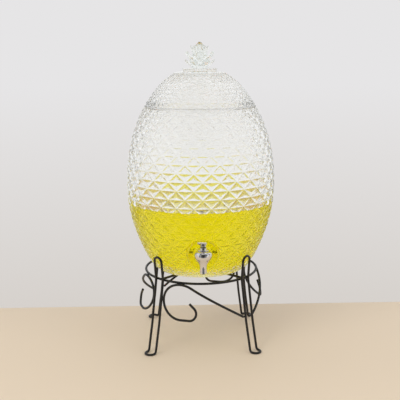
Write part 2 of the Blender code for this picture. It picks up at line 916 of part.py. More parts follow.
def build_valve(steel, rubber):
    """Stem with its seal collar and its flat eye, and the rubber plug on its stud."""
    seal_low = fit_gap - valve_seat_drop
    seal_high = seal_low + seal_thickness
    collar_low = seal_high + fit_gap
    collar_high = collar_low + stem_collar_thickness
    stud_low = seal_low + seal_cover
    rod_top = pin_height - eye_radius / 2
    stem = turned("valve_stem", (
        (0, stud_low + fit_gap),
        (stem_stud_radius, stud_low + fit_gap),
        (stem_stud_radius, collar_low),
        (stem_collar_radius, collar_low),
        (stem_collar_radius, collar_high),
        (stem_radius, collar_high),
        (stem_radius, rod_top),
        (0, rod_top),
    ), small_steps, False, steel)
    stem.location = tap_origin
    eye_centre = tap_origin + Vector((0, 0, pin_height))
    eye = cylinder("eye", eye_radius, -eye_thickness / 2, eye_thickness / 2, small_steps)
    eye = place(eye, tilt=quarter_turn)
    combine(stem, place(eye, eye_centre, 0, lever_heading), "UNION")
    hole = cylinder("hole", pin_hole_radius, -eye_thickness, eye_thickness, fine_steps)
    hole = place(hole, tilt=quarter_turn)
    combine(stem, place(hole, eye_centre, 0, lever_heading), "DIFFERENCE")
    bore = stem_stud_radius + fit_gap
    seal = turned("valve_seal", (
        (0, seal_low),
        (seal_radius - seal_edge, seal_low),
        (seal_radius, seal_low + seal_edge),
        (seal_radius, seal_high),
        (bore, seal_high),
        (bore, stud_low),
        (0, stud_low),
    ), small_steps, False, rubber)
    seal.location = tap_origin
    return smooth(stem), smooth(seal), collar_high


def build_spring(collar_high, steel):
    """Coil that pushes the stem's collar away from the bonnet."""
    low = collar_high + fit_gap + spring_wire_radius
    high = shoulder_height - bonnet_plug_depth - fit_gap - spring_wire_radius
    count = spring_turns * spring_turn_steps
    path = []
    for step in range(count + 1):
        angle = full_turn * step / spring_turn_steps
        height = low + (high - low) * step / count
        path.append(
            Vector((spring_radius * math.cos(angle), spring_radius * math.sin(angle), height))
        )
    spring = wire("return_spring", path, spring_wire_radius, 0, False, steel)
    spring.location = tap_origin
    return smooth(spring)


def build_lever(chrome, steel):
    """Thumb lever: a fork whose foot is a cam on the bonnet, and its pin."""
    rise_rate = valve_lift / lever_open_angle
    outline = []
    # The cam's distance from the pin grows evenly with the turn, which makes it an involute
    for step in range(fine_steps + 1):
        angle = lever_open_angle * step / fine_steps
        reach = cam_low + rise_rate * angle
        outline.append((
            -reach * math.sin(angle) - rise_rate * math.cos(angle),
            -reach * math.cos(angle) + rise_rate * math.sin(angle),
        ))
    outline += [(lever_length * along, lever_rise * up) for along, up in lever_side_shares]
    lever = extruded("lever", outline, 2 * lever_tip_width, chrome)
    hub = lever_hub_width / 2
    tip = lever_tip_width / 2
    side = [(-lever_length, hub), (cam_low, hub)]
    side += [(lever_length * along, tip * out) for along, out in lever_plan_shares]
    plan_outline = side + [(along, -out) for along, out in reversed(side)]
    slot_size = lever_length + lever_rise
    plan = extruded("plan", plan_outline, 2 * slot_size)
    combine(lever, place(plan, tilt=quarter_turn), "INTERSECT")
    slot_width = 2 * stem_radius + 2 * fit_gap
    slot_front = eye_radius + 2 * fit_gap
    slot_outline = (
        (-slot_size, -slot_size),
        (slot_front, -slot_size),
        (slot_front, slot_size),
        (-slot_size, slot_size),
    )
    combine(lever, extruded("slot", slot_outline, slot_width), "DIFFERENCE")
    hole = cylinder("hole", pin_hole_radius, -lever_hub_width, lever_hub_width, fine_steps)
    combine(lever, place(hole, tilt=quarter_turn), "DIFFERENCE")
    lever_origin = tap_origin + Vector((0, 0, pin_height))
    place(lever, lever_origin, 0, lever_heading)
    pin = cylinder("lever_pin", pin_radius, -hub, hub, fine_steps, steel)
    place(pin, tilt=quarter_turn)
    place(pin, lever_origin, 0, lever_heading)
    return smooth(lever), smooth(pin)


def build_fixings(rubber, plastic):
    """Rubber washer on each side of the glass and the nut that draws the tap tight."""
    bore = shank_radius + fit_gap
    outer_low = tap_axis_reach + seat_gap
    outer_high = outer_low + outer_washer_thickness
    inner_low = tap_axis - (boss_reach - boss_glass) + seat_gap
    inner_high = inner_low + inner_washer_thickness
    nut_low = inner_high + seat_gap
    nut_high = nut_low + nut_thickness
    pieces = []
    for name, low, high in (
        ("outer_washer", outer_low, outer_high),
        ("inner_washer", inner_low, inner_high),
    ):
        washer = turned(name, (
            (bore, low),
            (washer_radius, low),
            (washer_radius, high),
            (bore, high),
        ), round_steps, True, rubber)
        pieces.append(smooth(place(washer, tap_origin, -quarter_turn)))
    corner_radius = nut_flats / math.sqrt(3)
    nut = turned("lock_nut", (
        (0, nut_low),
        (corner_radius, nut_low),
        (corner_radius, nut_high - nut_chamfer),
        (corner_radius - nut_chamfer, nut_high),
        (0, nut_high),
    ), nut_sides, False, plastic)
    hole = cylinder("hole", bore, nut_low - cut_overrun, nut_high + cut_overrun, round_steps)
    combine(nut, hole, "DIFFERENCE")
    pieces.append(smooth(place(nut, tap_origin, -quarter_turn)))
    return pieces


def build_tap():
    """All pieces of the tap."""
    chrome = build_material("chrome_plated_abs", plate_colour, 0.08, 1.0)
    steel = build_material("stainless_steel", spring_colour, 0.25, 1.0)
    rubber = build_material("silicone_rubber", rubber_colour, 0.6)
    plastic = build_material("polypropylene", nut_colour, 0.45)
    pieces = [build_spigot_body(chrome), build_bonnet(chrome)]
    stem, seal, collar_high = build_valve(steel, rubber)
    pieces += [stem, seal, build_spring(collar_high, steel)]
    pieces += build_lever(chrome, steel)
    pieces += build_fixings(rubber, plastic)
    return pieces


def stand_on_origin(pieces):
    """Moves all pieces by a parent empty, so that the box's middle is over the origin."""
    bpy.context.view_layer.update()
    corners = [piece.matrix_world @ vertex.co for piece in pieces for vertex in piece.data.vertices]
    lowest = min(corner.y for corner in corners)
    highest = max(corner.y for corner in corners)
    origin = bpy.data.objects.new("dispenser_origin", None)
    bpy.context.scene.collection.objects.link(origin)
    origin.location = (0, -(lowest + highest) / 2, 0)
    for piece in pieces:
        piece.parent = origin
    bpy.context.view_layer.update()
    pin_place = origin.location + tap_origin + Vector((0, 0, pin_height))
    print("upright axis at Y:", round(origin.location.y, 5))
    print("lever pin at:", [round(value, 5) for value in pin_place])


def build():
    """The whole dispenser."""
    pieces = build_stand()
    pieces += [build_jar(), build_lid(), build_crown()]
    pieces += build_tap()
    stand_on_origin(pieces)
    sides = [len(face.vertices) for piece in pieces for face in piece.data.polygons]
    print("triangles:", sum(sides) - 2 * len(sides))


build()
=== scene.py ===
# %% [markdown]
# # A glass drinks dispenser, dressed round its CAD frame
# The real object is an egg of clear pressed glass with a star-cut relief, a domed lid with a
# finial of glass leaves, a small chrome tap and a stand of black wire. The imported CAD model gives
# every piece its place, its size and the body it moves with. This notebook keeps those places and
# makes the surfaces: finer glass, a drink to fill it, plated metal and coated wire.

# %% Load the frame
import math
from functools import cache

import bmesh
import bpy
from mathutils import Matrix, Vector


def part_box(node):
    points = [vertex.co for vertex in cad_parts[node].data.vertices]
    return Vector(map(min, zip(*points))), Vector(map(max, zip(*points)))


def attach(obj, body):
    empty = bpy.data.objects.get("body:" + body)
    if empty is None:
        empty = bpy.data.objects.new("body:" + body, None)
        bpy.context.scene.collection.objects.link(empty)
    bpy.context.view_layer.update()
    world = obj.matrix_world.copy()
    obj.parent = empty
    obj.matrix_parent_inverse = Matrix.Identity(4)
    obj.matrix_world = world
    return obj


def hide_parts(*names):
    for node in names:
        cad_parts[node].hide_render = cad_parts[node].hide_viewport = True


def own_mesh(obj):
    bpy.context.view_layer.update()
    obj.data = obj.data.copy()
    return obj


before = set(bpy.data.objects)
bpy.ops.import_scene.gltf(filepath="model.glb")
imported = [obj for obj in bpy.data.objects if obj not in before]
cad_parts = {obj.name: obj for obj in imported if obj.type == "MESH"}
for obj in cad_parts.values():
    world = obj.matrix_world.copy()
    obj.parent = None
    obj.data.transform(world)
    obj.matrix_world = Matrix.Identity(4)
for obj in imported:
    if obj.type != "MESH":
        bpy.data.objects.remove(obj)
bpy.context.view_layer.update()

# %% [markdown]
# ## Where the upright axis stands
# The jar, the ring and the crown share one upright axis. It isn't the origin, because the tap
# sticks out in front and the origin is under the middle of the whole box. The ring is round, so
# the middle of its box gives the axis. All shapes below are made round the Z axis and are moved
# there at the end.

# %% Axis from the ring
mm = 0.001
quarter_turn = math.pi / 2
half_turn = math.pi
full_turn = 2 * math.pi
ring_low, ring_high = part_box("support_ring")
axis = Vector(((ring_low.x + ring_high.x) / 2, (ring_low.y + ring_high.y) / 2, 0))
print("upright axis:", [round(value, 5) for value in axis])

# %% [markdown]
# ## Small mesh tools
# Nearly everything here is turned on a lathe, swept along a wire or cut with a Boolean, so a few
# helpers do most of the work: points and faces into an object, a band of faces between two rows,
# a turned solid, and a Boolean that is applied at once. The manifold solver is chosen because the
# glass has tens of thousands of faces and that solver joins them in well under a second.

# %% Points and faces into an object
def in_scene(name, data):
    holder = bpy.data.objects.new(name, data)
    bpy.context.scene.collection.objects.link(holder)
    return holder


def mesh_object(name, points, faces, smooth=False):
    mesh = bpy.data.meshes.new(name)
    mesh.from_pydata([tuple(point) for point in points], [], faces)
    work = bmesh.new()
    work.from_mesh(mesh)
    bmesh.ops.recalc_face_normals(work, faces=work.faces)
    for face in work.faces:
        face.smooth = smooth
    work.to_mesh(mesh)
    work.free()
    return in_scene(name, mesh)


# %% Rings of points, and the faces between two of them
def on_circle(radius, angle, height):
    return Vector((radius * math.cos(angle), radius * math.sin(angle), height))


def add_ring(points, radius, height, steps):
    """Adds a level ring of points, or one point on the axis, and gives their numbers."""
    start = len(points)
    count = steps if radius > 0 else 1
    points.extend(on_circle(radius, full_turn * step / count, height) for step in range(count))
    return list(range(start, len(points)))


def band(lower, upper):
    count = max(len(lower), len(upper))
    faces = []
    for step in range(count):
        after = (step + 1) % count
        if len(lower) == 1:
            faces.append((lower[0], upper[after], upper[step]))
        elif len(upper) == 1:
            faces.append((lower[step], lower[after], upper[0]))
        else:
            faces.append((lower[step], lower[after], upper[after], upper[step]))
    return faces


def bands(rows):
    return [face for lower, upper in zip(rows, rows[1:]) for face in band(lower, upper)]


# %% Turned solids
def rod_outline(radius, low, high):
    return (0, low), (radius, low), (radius, high), (0, high)


def turned(name, outline, steps, closed=False, smooth=True):
    points = []
    rows = [add_ring(points, radius, height, steps) for radius, height in outline]
    faces = bands(rows + rows[:1] if closed else rows)
    return mesh_object(name, points, faces, smooth)


# %% Round the corners of an outline
def rounded(outline, radius, steps=4):
    """Replaces each inner corner of (radius, height) points by a small arc."""
    corners = [Vector(point) for point in outline]
    points = [corners[0]]
    for before, corner, after in zip(corners, corners[1:], corners[2:]):
        back = before - corner
        ahead = after - corner
        reach = min(radius, back.length / 2.1, ahead.length / 2.1)
        start = corner + back.normalized() * reach
        end = corner + ahead.normalized() * reach
        for step in range(steps + 1):
            share = step / steps
            points.append(
                start * (1 - share) ** 2 + corner * 2 * share * (1 - share) + end * share**2
            )
    points.append(corners[-1])
    return [(max(point.x, 0), point.y) for point in points]


# %% Draw a smooth curve through a few points
def flowing(knots, steps):
    """Points of a curve that goes smoothly through all knots."""
    points = []
    last = len(knots) - 1
    for number in range(last):
        before, start, end, after = (
            knots[min(max(number + way, 0), last)] for way in (-1, 0, 1, 2)
        )
        leave = (end - before) / 2
        arrive = (after - start) / 2
        for step in range(steps):
            share = step / steps
            square = share**2
            cube = share**3
            points.append(
                start * (2 * cube - 3 * square + 1)
                + leave * (cube - 2 * square + share)
                + end * (3 * square - 2 * cube)
                + arrive * (cube - square)
            )
    points.append(knots[-1])
    return points


# %% Turn, tilt and move a piece
def place(piece, location=(0, 0, 0), tilt=0.0, turn=0.0):
    rotation = Matrix.Rotation(turn, 4, "Z") @ Matrix.Rotation(tilt, 4, "X")
    piece.data.transform(Matrix.Translation(location) @ rotation)
    return piece


# %% Apply modifiers and Booleans at once
def final_mesh(piece):
    bpy.context.view_layer.update()
    evaluated = piece.evaluated_get(bpy.context.evaluated_depsgraph_get())
    return bpy.data.meshes.new_from_object(evaluated)


def applied(piece):
    result = final_mesh(piece)
    piece.modifiers.clear()
    piece.data = result
    return piece


def combine(target, tool, operation):
    modifier = target.modifiers.new(operation.lower(), "BOOLEAN")
    modifier.operation = operation
    modifier.solver = "MANIFOLD"
    modifier.object = tool
    applied(target)
    bpy.data.objects.remove(tool, do_unlink=True)
    return target


# %% [markdown]
# ## Materials: the common ground
# Each finish starts from what it is in life. Colours are written as sRGB hex, as a colour picker
# gives them, and one function turns them into the linear values that Cycles wants. One more
# function adds a node, sets what it is given and links the rest, so a material reads as a list.
# Most of these surfaces have a fine grain of a known width, so the noise and its bump come as a
# pair. What is the same all over a surface is set on the shader's own socket.

# %% Colours and nodes
def linear(colour):
    values = [int(colour[start:start + 2], 16) / 255 for start in (0, 2, 4)]
    return tuple(
        value / 12.92 if value <= 0.04045 else ((value + 0.055) / 1.055) ** 2.4 for value in values
    ) + (1.0,)


def add_node(tree, kind, settings=None, sockets=None):
    node = tree.nodes.new(kind)
    for name, value in (settings or {}).items():
        setattr(node, name, value)
    for name, value in (sockets or {}).items():
        if isinstance(value, bpy.types.NodeSocket):
            tree.links.new(value, node.inputs[name])
        else:
            node.inputs[name].default_value = value
    return node


# %% Start a material, grain its surface and close it
def new_material(name):
    material = bpy.data.materials.new(name)
    material.use_nodes = True
    material.node_tree.nodes.clear()
    print("material:", name)
    return material, material.node_tree


def grained(tree, width, strength, depth, detail=2.0, length=None):
    """Place on the object, noise as wide (and long) as the grain, and the bump that it raises."""
    where = add_node(tree, "ShaderNodeTexCoord").outputs["Object"]
    if length:
        where = add_node(tree, "ShaderNodeMapping", sockets={
            "Vector": where, "Scale": (1, 1, width / length),
        }).outputs["Vector"]
    grain = add_node(tree, "ShaderNodeTexNoise", sockets={
        "Vector": where, "Scale": 1 / width, "Detail": detail,
    }).outputs["Fac"]
    bump = add_node(tree, "ShaderNodeBump", sockets={
        "Height": grain, "Strength": strength, "Distance": depth,
    })
    return where, grain, bump.outputs["Normal"]


def close_material(tree, sockets, volume=None):
    shader = add_node(tree, "ShaderNodeBsdfPrincipled", sockets=sockets)
    outlets = {"Surface": shader.outputs["BSDF"]}
    if volume:
        outlets["Volume"] = volume
    add_node(tree, "ShaderNodeOutputMaterial", sockets=outlets)


# %% Finish a piece and give it to its body
def cover(piece, *materials):
    piece.data.materials.clear()
    for material in materials:
        piece.data.materials.append(material)


def fit(piece, body, slot, *nodes):
    """The body it moves with and the CAD nodes that it stands for. The record's slot is not used.
    """
    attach(piece, body)
    if nodes:
        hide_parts(*nodes)
    print(piece.name, "rides on", body, "with", len(piece.data.polygons), "faces")


# %% [markdown]
# ## Soda-lime glass, pressed, wetted and ground
# The jar and the lid are soda-lime glass, pressed in an iron mould and fire polished. The mould's
# skin leaves the surface a little wavy, a few hundredths of a millimetre over some 9 mm, which
# makes what is seen through it shimmer. Iron in the sand tints it faintly green, and only where
# light goes a long way through the glass, as along the rim. So the colour sits in a weak volume
# absorption and not on the surface. The crown's tint is set denser, which greys its thick leaves.
# IOR 1.52 is the typical value for this glass. Where drink wets it, light passes from glass into
# drink and not into air, so those faces take the two IORs' ratio and bend it far less. Where jar
# and lid meet, the glass is ground flat, which scatters light into a pale line. Real grit is about
# a tenth of a millimetre wide and wouldn't show, so it is drawn four times as coarse.

# %% Glass materials
glass_index = 1.52
drink_index = 1.34
mould_ripple = 9 * mm


def soda_lime_glass(name, grain, depth=0.03 * mm, roughness=0.0, index=glass_index, density=1.2):
    material, tree = new_material(name)
    *_, normal = grained(tree, grain, 0.5, depth)
    tint = add_node(tree, "ShaderNodeVolumeAbsorption", sockets={
        "Color": linear("e6eeea"), "Density": density,
    }).outputs["Volume"] if density else None
    close_material(tree, {
        "Base Color": linear("ffffff"), "Roughness": roughness, "IOR": index,
        "Transmission Weight": 1.0, "Normal": normal,
    }, tint)
    return material


jar_glass = soda_lime_glass("soda_lime_glass_pressed_jar", mould_ripple)
lid_glass = soda_lime_glass("soda_lime_glass_pressed_lid", mould_ripple)
crown_glass = soda_lime_glass("soda_lime_glass_pressed_crown", 5 * mm, density=12.0)
wetted_glass = soda_lime_glass(
    "soda_lime_glass_wetted", mould_ripple, index=glass_index / drink_index,
)
ground_glass = soda_lime_glass(
    "soda_lime_glass_ground_edge", 0.4 * mm, 0.05 * mm, roughness=0.45, density=0,
)

# %% [markdown]
# ## The egg's outline
# Jar and lid are one egg, cut at the seam. The CAD draws its outline as a smooth curve through a
# table of shares of its height and radius, and the same table gives the same curve here, only
# with more steps. egg_place tells the radius at a height and which way the surface faces there.

# %% Egg sizes, as in the CAD
seat_gap = 0.3 * mm
jar_radius = 130.2 * mm
jar_wall = 5.5 * mm
lid_wall = 5.0 * mm
base_height = ring_high.z + seat_gap
seam_level = base_height + 289.2 * mm
egg_height = 346.6 * mm
egg_top = base_height + egg_height
relief_depth = 1.5 * mm
groove_depth = 1.9 * mm
relief_start = base_height + 6 * mm
tap_level = base_height + 52.3 * mm
egg_outline_shares = (
    (0.000, 0.545), (0.017, 0.640), (0.074, 0.744), (0.183, 0.873), (0.305, 0.966), (0.442, 1.000),
    (0.600, 0.970), (0.742, 0.865), (0.860, 0.703), (0.946, 0.525), (1.000, 0.335),
)
egg_points = flowing([
    Vector((share * jar_radius, base_height + rise * egg_height))
    for rise, share in egg_outline_shares
], 12)
egg_heights = [point.y for point in egg_points]
egg_radii = [point.x for point in egg_points]
print("egg:", len(egg_points), "outline points, widest", round(max(egg_radii), 4))


# %% Read the outline at a height
def between(value, known, wanted):
    """Reads a table: the wanted value at a known one."""
    for number, (low, high) in enumerate(zip(known, known[1:])):
        if value <= high:
            share = (value - low) / (high - low)
            return wanted[number] + share * (wanted[number + 1] - wanted[number])
    return wanted[-1]


def egg_place(height):
    """Radius of the egg and its outward normal (radial, upward) at a height."""
    last = len(egg_heights) - 2
    number = next((n for n, top in enumerate(egg_heights[1:]) if height <= top), last)
    slope = (egg_points[number + 1] - egg_points[number]).normalized()
    return between(height, egg_heights, egg_radii), slope.y, -slope.x


def inner_radius_at(height, wall):
    radius, out, _ = egg_place(height)
    return radius - wall / out


print("inside the seam:", round(inner_radius_at(seam_level, jar_wall), 4))

# %% [markdown]
# ## The star-cut relief
# The mould is cut with three sets of straight V grooves: level ones and two slanting ones. They
# cross in stars, 28 round the jar, and leave low three-sided pyramids between them. It could be a
# bump map, but glass shows a bump map at once: the outline stays smooth and light doesn't bend in
# it. So every groove is real geometry. The pattern is laid out flat in columns and rows, and each
# triangle of it gets rings of points from the groove's floor to the pyramid's peak. They sink as
# the table of rings says, steep at the groove and easing off to the peak, as fire polish leaves a
# cut. Each point is then wrapped on the egg. Rows follow the radius, as they do on the real jar,
# so the stars keep their shape and only get smaller towards the collar and the base.

# %% Rows of the pattern on the egg
relief_columns = 28
edge_parts = 4
round_steps = relief_columns * edge_parts
groove_rings = ((0.00, 1.00), (0.07, 0.94), (0.18, 0.62), (0.30, 0.42), (0.65, 0.18), (1.00, 0.00))
egg_reaches = [0.0]
for lower, upper in zip(egg_points, egg_points[1:]):
    width = (lower.x + upper.x) / 2
    egg_reaches.append(egg_reaches[-1] + (upper - lower).length / width)
print("way along the egg, in radii:", round(egg_reaches[-1], 3))


# %% A solid with the relief on it
def relief_shell(name, low, high, below, above):
    start_reach = between(low, egg_heights, egg_reaches)
    end_reach = between(high, egg_heights, egg_reaches)
    rows = round((end_reach - start_reach) * relief_columns / half_turn)
    points = []
    numbers = {}
    faces = []

    @cache
    def row_place(row):
        reach = start_reach + row / rows * (end_reach - start_reach)
        height = between(reach, egg_reaches, egg_heights)
        height = low if row == 0 else high if row == rows else height
        return (height, *egg_place(height))

    def point_number(column, row, depth):
        column = round(column % relief_columns, 6) % relief_columns
        row = round(row, 6)
        key = (column, row)
        if key not in numbers:
            height, radius, out, up = row_place(row)
            sink = depth * groove_depth * radius / jar_radius
            fall = sink * up
            if row in (0, rows):
                sink, fall = relief_depth, 0
            numbers[key] = len(points)
            angle = full_turn * column / relief_columns
            points.append(on_circle(radius - sink * out, angle, height - fall))
        return numbers[key]

    def add_cell(*corners):
        corners = [Vector(corner) for corner in corners]
        base = math.sqrt(2)
        middle = (corners[0] + corners[1] + corners[2] * base) / (2 + base)
        rings = []
        for inset, depth in groove_rings[:-1]:
            ring = []
            moved = [middle + (corner - middle) * (1 - inset) for corner in corners]
            for here, there in zip(moved, moved[1:] + moved[:1]):
                for part in range(edge_parts):
                    spot = here + (there - here) * part / edge_parts
                    ring.append(point_number(spot.x, spot.y, depth))
            rings.append(ring)
        rings.append([point_number(middle.x, middle.y, groove_rings[-1][1])])
        faces.extend(bands(rings))

    for row in range(rows):
        for column in range(relief_columns):
            left = column + row % 2 / 2
            add_cell((left, row), (left + 1, row), (left + 0.5, row + 1))
            add_cell((left + 1.5, row + 1), (left + 0.5, row + 1), (left + 1, row))
    low_edge, high_edge = (
        [point_number(step / edge_parts, row, 1.0) for step in range(round_steps)]
        for row in (0, rows)
    )
    under = [add_ring(points, *ring, round_steps) for ring in below] + [low_edge]
    over = [high_edge] + [add_ring(points, *ring, round_steps) for ring in above]
    faces += bands(under) + bands(over)
    print(name, "relief:", rows, "rows,", len(faces), "faces")
    return mesh_object(name, points, faces, True)


# %% [markdown]
# ## The jar
# The jar is the relief outside and a smooth plunger face inside, with a thick floor, a foot ring
# underneath and a flat round boss that the tap bolts to. The inside is cut out as one turned
# shape. The boss's front edge gets a real radius, because that is what draws the darker ring
# round it. The whole shades smooth, as fire polish rounds the edges of the pattern, and only
# large flat faces and edges sharper than 80 degrees stay crisp. Three finishes share the mesh:
# dry glass, the faces that the drink wets, and the ground edge at the seam.

# %% Jar body and boss
mouth_radius = inner_radius_at(seam_level, jar_wall)
base_radius = egg_radii[0]
foot_ring_radius = base_radius - 11 * mm
foot_ring_rise = 3 * mm
base_corner = base_height + 2 * mm
boss_radius = 25.5 * mm
boss_flare = 3 * mm
boss_reach = jar_radius - 11.6 * mm
boss_glass = 10 * mm
pocket_radius = 16 * mm
hole_radius = 8 * mm
rim_radius = egg_place(seam_level)[0]
jar = relief_shell(
    "jar_shell", relief_start, seam_level - relief_depth,
    rounded((
        (0, base_height + foot_ring_rise),
        (foot_ring_radius, base_height + foot_ring_rise),
        (foot_ring_radius + 3 * mm, base_height),
        (base_radius, base_height),
        (egg_place(base_corner)[0], base_corner),
    ), 2 * mm),
    rounded((
        (rim_radius, seam_level - 0.7 * relief_depth),
        (rim_radius, seam_level),
        (0, seam_level),
    ), 0.8 * mm),
)
boss_start = boss_reach / 2
boss_length = boss_reach - boss_start
boss = turned("boss", rounded((
    (0, 0),
    (boss_radius + boss_flare, 0),
    (boss_radius + boss_flare, boss_length - 9 * mm),
    (boss_radius, boss_length),
    (0, boss_length),
), 2.2 * mm, 6), 96)
combine(jar, place(boss, (0, -boss_start, tap_level), quarter_turn), "UNION")
print("jar outside:", len(jar.data.polygons), "faces")

# %% Outline of the inside, which the drink will follow too
floor_level = base_height + 8 * mm
floor_round = 16 * mm
fine_steps = 48
corner_steps = 8


def inner_wall(start, top, grow=0.0):
    """Inner outline between two heights, grown outwards by a little."""
    heights = [start + (top - start) * step / fine_steps for step in range(1, fine_steps + 1)]
    return [(inner_radius_at(height, jar_wall) + grow, height) for height in heights]


def inner_floor(grow=0.0):
    """Floor and its round corner, from the middle outwards."""
    flat_radius = inner_radius_at(floor_level + floor_round, jar_wall) - floor_round
    outline = [(0, floor_level - grow), (flat_radius, floor_level - grow)]
    for step in range(1, corner_steps + 1):
        angle = quarter_turn * step / corner_steps
        radius = flat_radius + (floor_round + grow) * math.sin(angle)
        outline.append((radius, floor_level + floor_round - (floor_round + grow) * math.cos(angle)))
    return outline


# %% Cut the inside, the pocket behind the boss and the tap's hole
drink_level = 255 * mm
overrun = 2 * mm
cavity = inner_floor() + inner_wall(floor_level + floor_round, drink_level)
cavity += inner_wall(drink_level, seam_level)
cavity += [(mouth_radius, seam_level + overrun), (0, seam_level + overrun)]
combine(jar, turned("cavity", cavity, round_steps), "DIFFERENCE")
pocket_end = boss_reach - boss_glass
pocket = turned("pocket", rounded(rod_outline(pocket_radius, 0, pocket_end), 1.5 * mm), 64)
combine(jar, place(pocket, (0, 0, tap_level), quarter_turn), "DIFFERENCE")
hole = turned("hole", rod_outline(hole_radius, 0, boss_reach + overrun), 48)
combine(jar, place(hole, (0, 0, tap_level), quarter_turn), "DIFFERENCE")
print("jar hollowed:", len(jar.data.polygons), "faces")


# %% Fire polish and ground edges
def polish(piece):
    """Rounds the relief's edges by shading, but keeps large flat faces flat."""
    piece.data.set_sharp_from_angle(angle=math.radians(80))
    for face in piece.data.polygons:
        if face.area > (10 * mm) ** 2:
            face.use_smooth = False


def grind_edge(piece, level):
    """Gives a piece's flat face at the seam its last material."""
    for face in piece.data.polygons:
        if abs(face.normal.z) > 0.7 and abs(face.center.z - level) < 0.5 * mm:
            face.material_index = len(piece.data.materials) - 1


# %% Wet the jar up to the drink's level
near = 1 * mm
polish(jar)
place(jar, axis)
cover(jar, jar_glass, wetted_glass, ground_glass)
wet_faces = 0
for face in jar.data.polygons:
    spot = face.center - axis
    reach = math.hypot(spot.x, spot.y)
    in_pocket = math.hypot(spot.x, spot.z - tap_level) < pocket_radius + near and spot.y < 0
    inside = reach < inner_radius_at(max(spot.z, floor_level), jar_wall) + near
    behind_boss = in_pocket and reach < pocket_end + near
    if floor_level - near < spot.z < drink_level and (inside or behind_boss):
        face.material_index = 1
        wet_faces += 1
grind_edge(jar, seam_level)
print("wetted faces:", wet_faces)
fit(jar, "jar", "jar_glass", "jar")

# %% [markdown]
# ## The lid
# The lid carries the same relief on up to a plain collar, where the finial stands. A skirt drops
# into the jar's mouth and keeps the lid in place. It rests on the rim with nothing between, so
# the joint shows as a thin line of two ground edges.

# %% Lid with its relief and collar
lid_low = seam_level + seat_gap
skirt_depth = 8 * mm
skirt_low = lid_low - skirt_depth
skirt_radius = mouth_radius - 0.8 * mm
skirt_inner = skirt_radius - 4 * mm
lid_edge_radius = egg_place(lid_low)[0]
collar_radius = 30 * mm
collar_lip = 1.2 * mm
collar_root = egg_top + 2 * mm
collar_top = egg_top + 6.4 * mm
lid = relief_shell(
    "lid_dome", lid_low + relief_depth, egg_top,
    rounded((
        (0, skirt_low),
        (skirt_radius, skirt_low),
        (skirt_radius, lid_low),
        (lid_edge_radius, lid_low),
        (lid_edge_radius, lid_low + 0.7 * relief_depth),
    ), 0.6 * mm),
    rounded((
        (collar_radius - collar_lip, collar_root),
        (collar_radius - collar_lip, collar_top - 2 * collar_lip),
        (collar_radius, collar_top - collar_lip),
        (collar_radius, collar_top),
        (0, collar_top),
    ), 0.6 * mm),
)

# %% Hollow the lid and finish it
inner_top = egg_top - 7.5 * mm
dome = [(0, skirt_low - overrun), (skirt_inner, skirt_low - overrun)]
dome.append((skirt_inner, lid_low - skirt_depth / 2))
for step in range(1, fine_steps + 1):
    height = lid_low + (inner_top - lid_low) * math.sin(quarter_turn * step / fine_steps)
    dome.append((min(skirt_inner, inner_radius_at(height, lid_wall)), height))
dome.append((0, inner_top))
combine(lid, turned("dome", dome, round_steps), "DIFFERENCE")
polish(lid)
place(lid, axis)
cover(lid, lid_glass, ground_glass)
grind_edge(lid, lid_low)
fit(lid, "lid", "lid_glass", "lid")

# %% [markdown]
# ## The crown
# The finial is a rosette of thick glass leaves in three tiers round a bud, pressed as one lump.
# A leaf starts as a cage of five diamond-shaped sections along a bent line. One subdivision takes
# the edge off the cage, and its faces stay flat, as does the twelve-sided bud, so the lump glints
# in facets as cut glass does. A union joins the leaves, so light runs through them as one piece.

# %% One leaf
crown_base = collar_top + seat_gap
crown_height = 44.5 * mm
crown_reach = 26 * mm
leaf_width = 24 * mm
leaf_thickness = 9.0 * mm
leaf_count = 6
leaf_stations = (
    (0.00, 0.50, 0.90), (0.40, 0.92, 1.00), (0.72, 1.05, 0.85), (0.92, 0.85, 0.65),
    (1.00, 0.30, 0.40),
)
leaf_tiers = (
    ((0.200, 0.060), (0.700, 0.110), (0.960, 0.330), 1.00, 0.00),
    ((0.200, 0.230), (0.740, 0.300), (1.000, 0.640), 1.00, 0.50),
    ((0.150, 0.450), (0.520, 0.530), (0.560, 0.860), 0.84, 0.00),
)


def glass_leaf(root, bend, tip, size):
    points = []
    rows = []
    for share, width_share, thickness_share in leaf_stations:
        middle = root * (1 - share) ** 2 + bend * 2 * share * (1 - share) + tip * share**2
        along = ((bend - root) * (1 - share) + (tip - bend) * share).normalized()
        over = Vector((-along.z, 0, along.x)) * leaf_thickness * size * thickness_share / 2
        side = Vector((0, leaf_width * size * width_share / 2, 0))
        rows.append(list(range(len(points), len(points) + 4)))
        points += [middle + over, middle + side, middle - over, middle - side]
    faces = [tuple(rows[0]), tuple(rows[-1])] + bands(rows)
    leaf = mesh_object("leaf", points, faces)
    leaf.modifiers.new("fire_polish", "SUBSURF").levels = 1
    return applied(leaf)


# %% Bud and tiers of leaves
bud_outline = rounded([
    (0, 0), (14 * mm, 0), (15 * mm, 16 * mm), (11 * mm, 30 * mm), (7.5 * mm, 38 * mm),
    (2.2 * mm, crown_height), (0, crown_height),
], 1.2 * mm, 2)
crown = turned("crown_leaves", bud_outline, 12, smooth=False)
for *line, size, turn in leaf_tiers:
    corners = [Vector((reach * crown_reach, 0, rise * crown_height)) for reach, rise in line]
    for number in range(leaf_count):
        leaf = place(glass_leaf(*corners, size), turn=full_turn / leaf_count * (number + turn))
        combine(crown, leaf, "UNION")
place(crown, axis + Vector((0, 0, crown_base)))
cover(crown, crown_glass)
fit(crown, "lid", "crown_glass", "crown_knob")

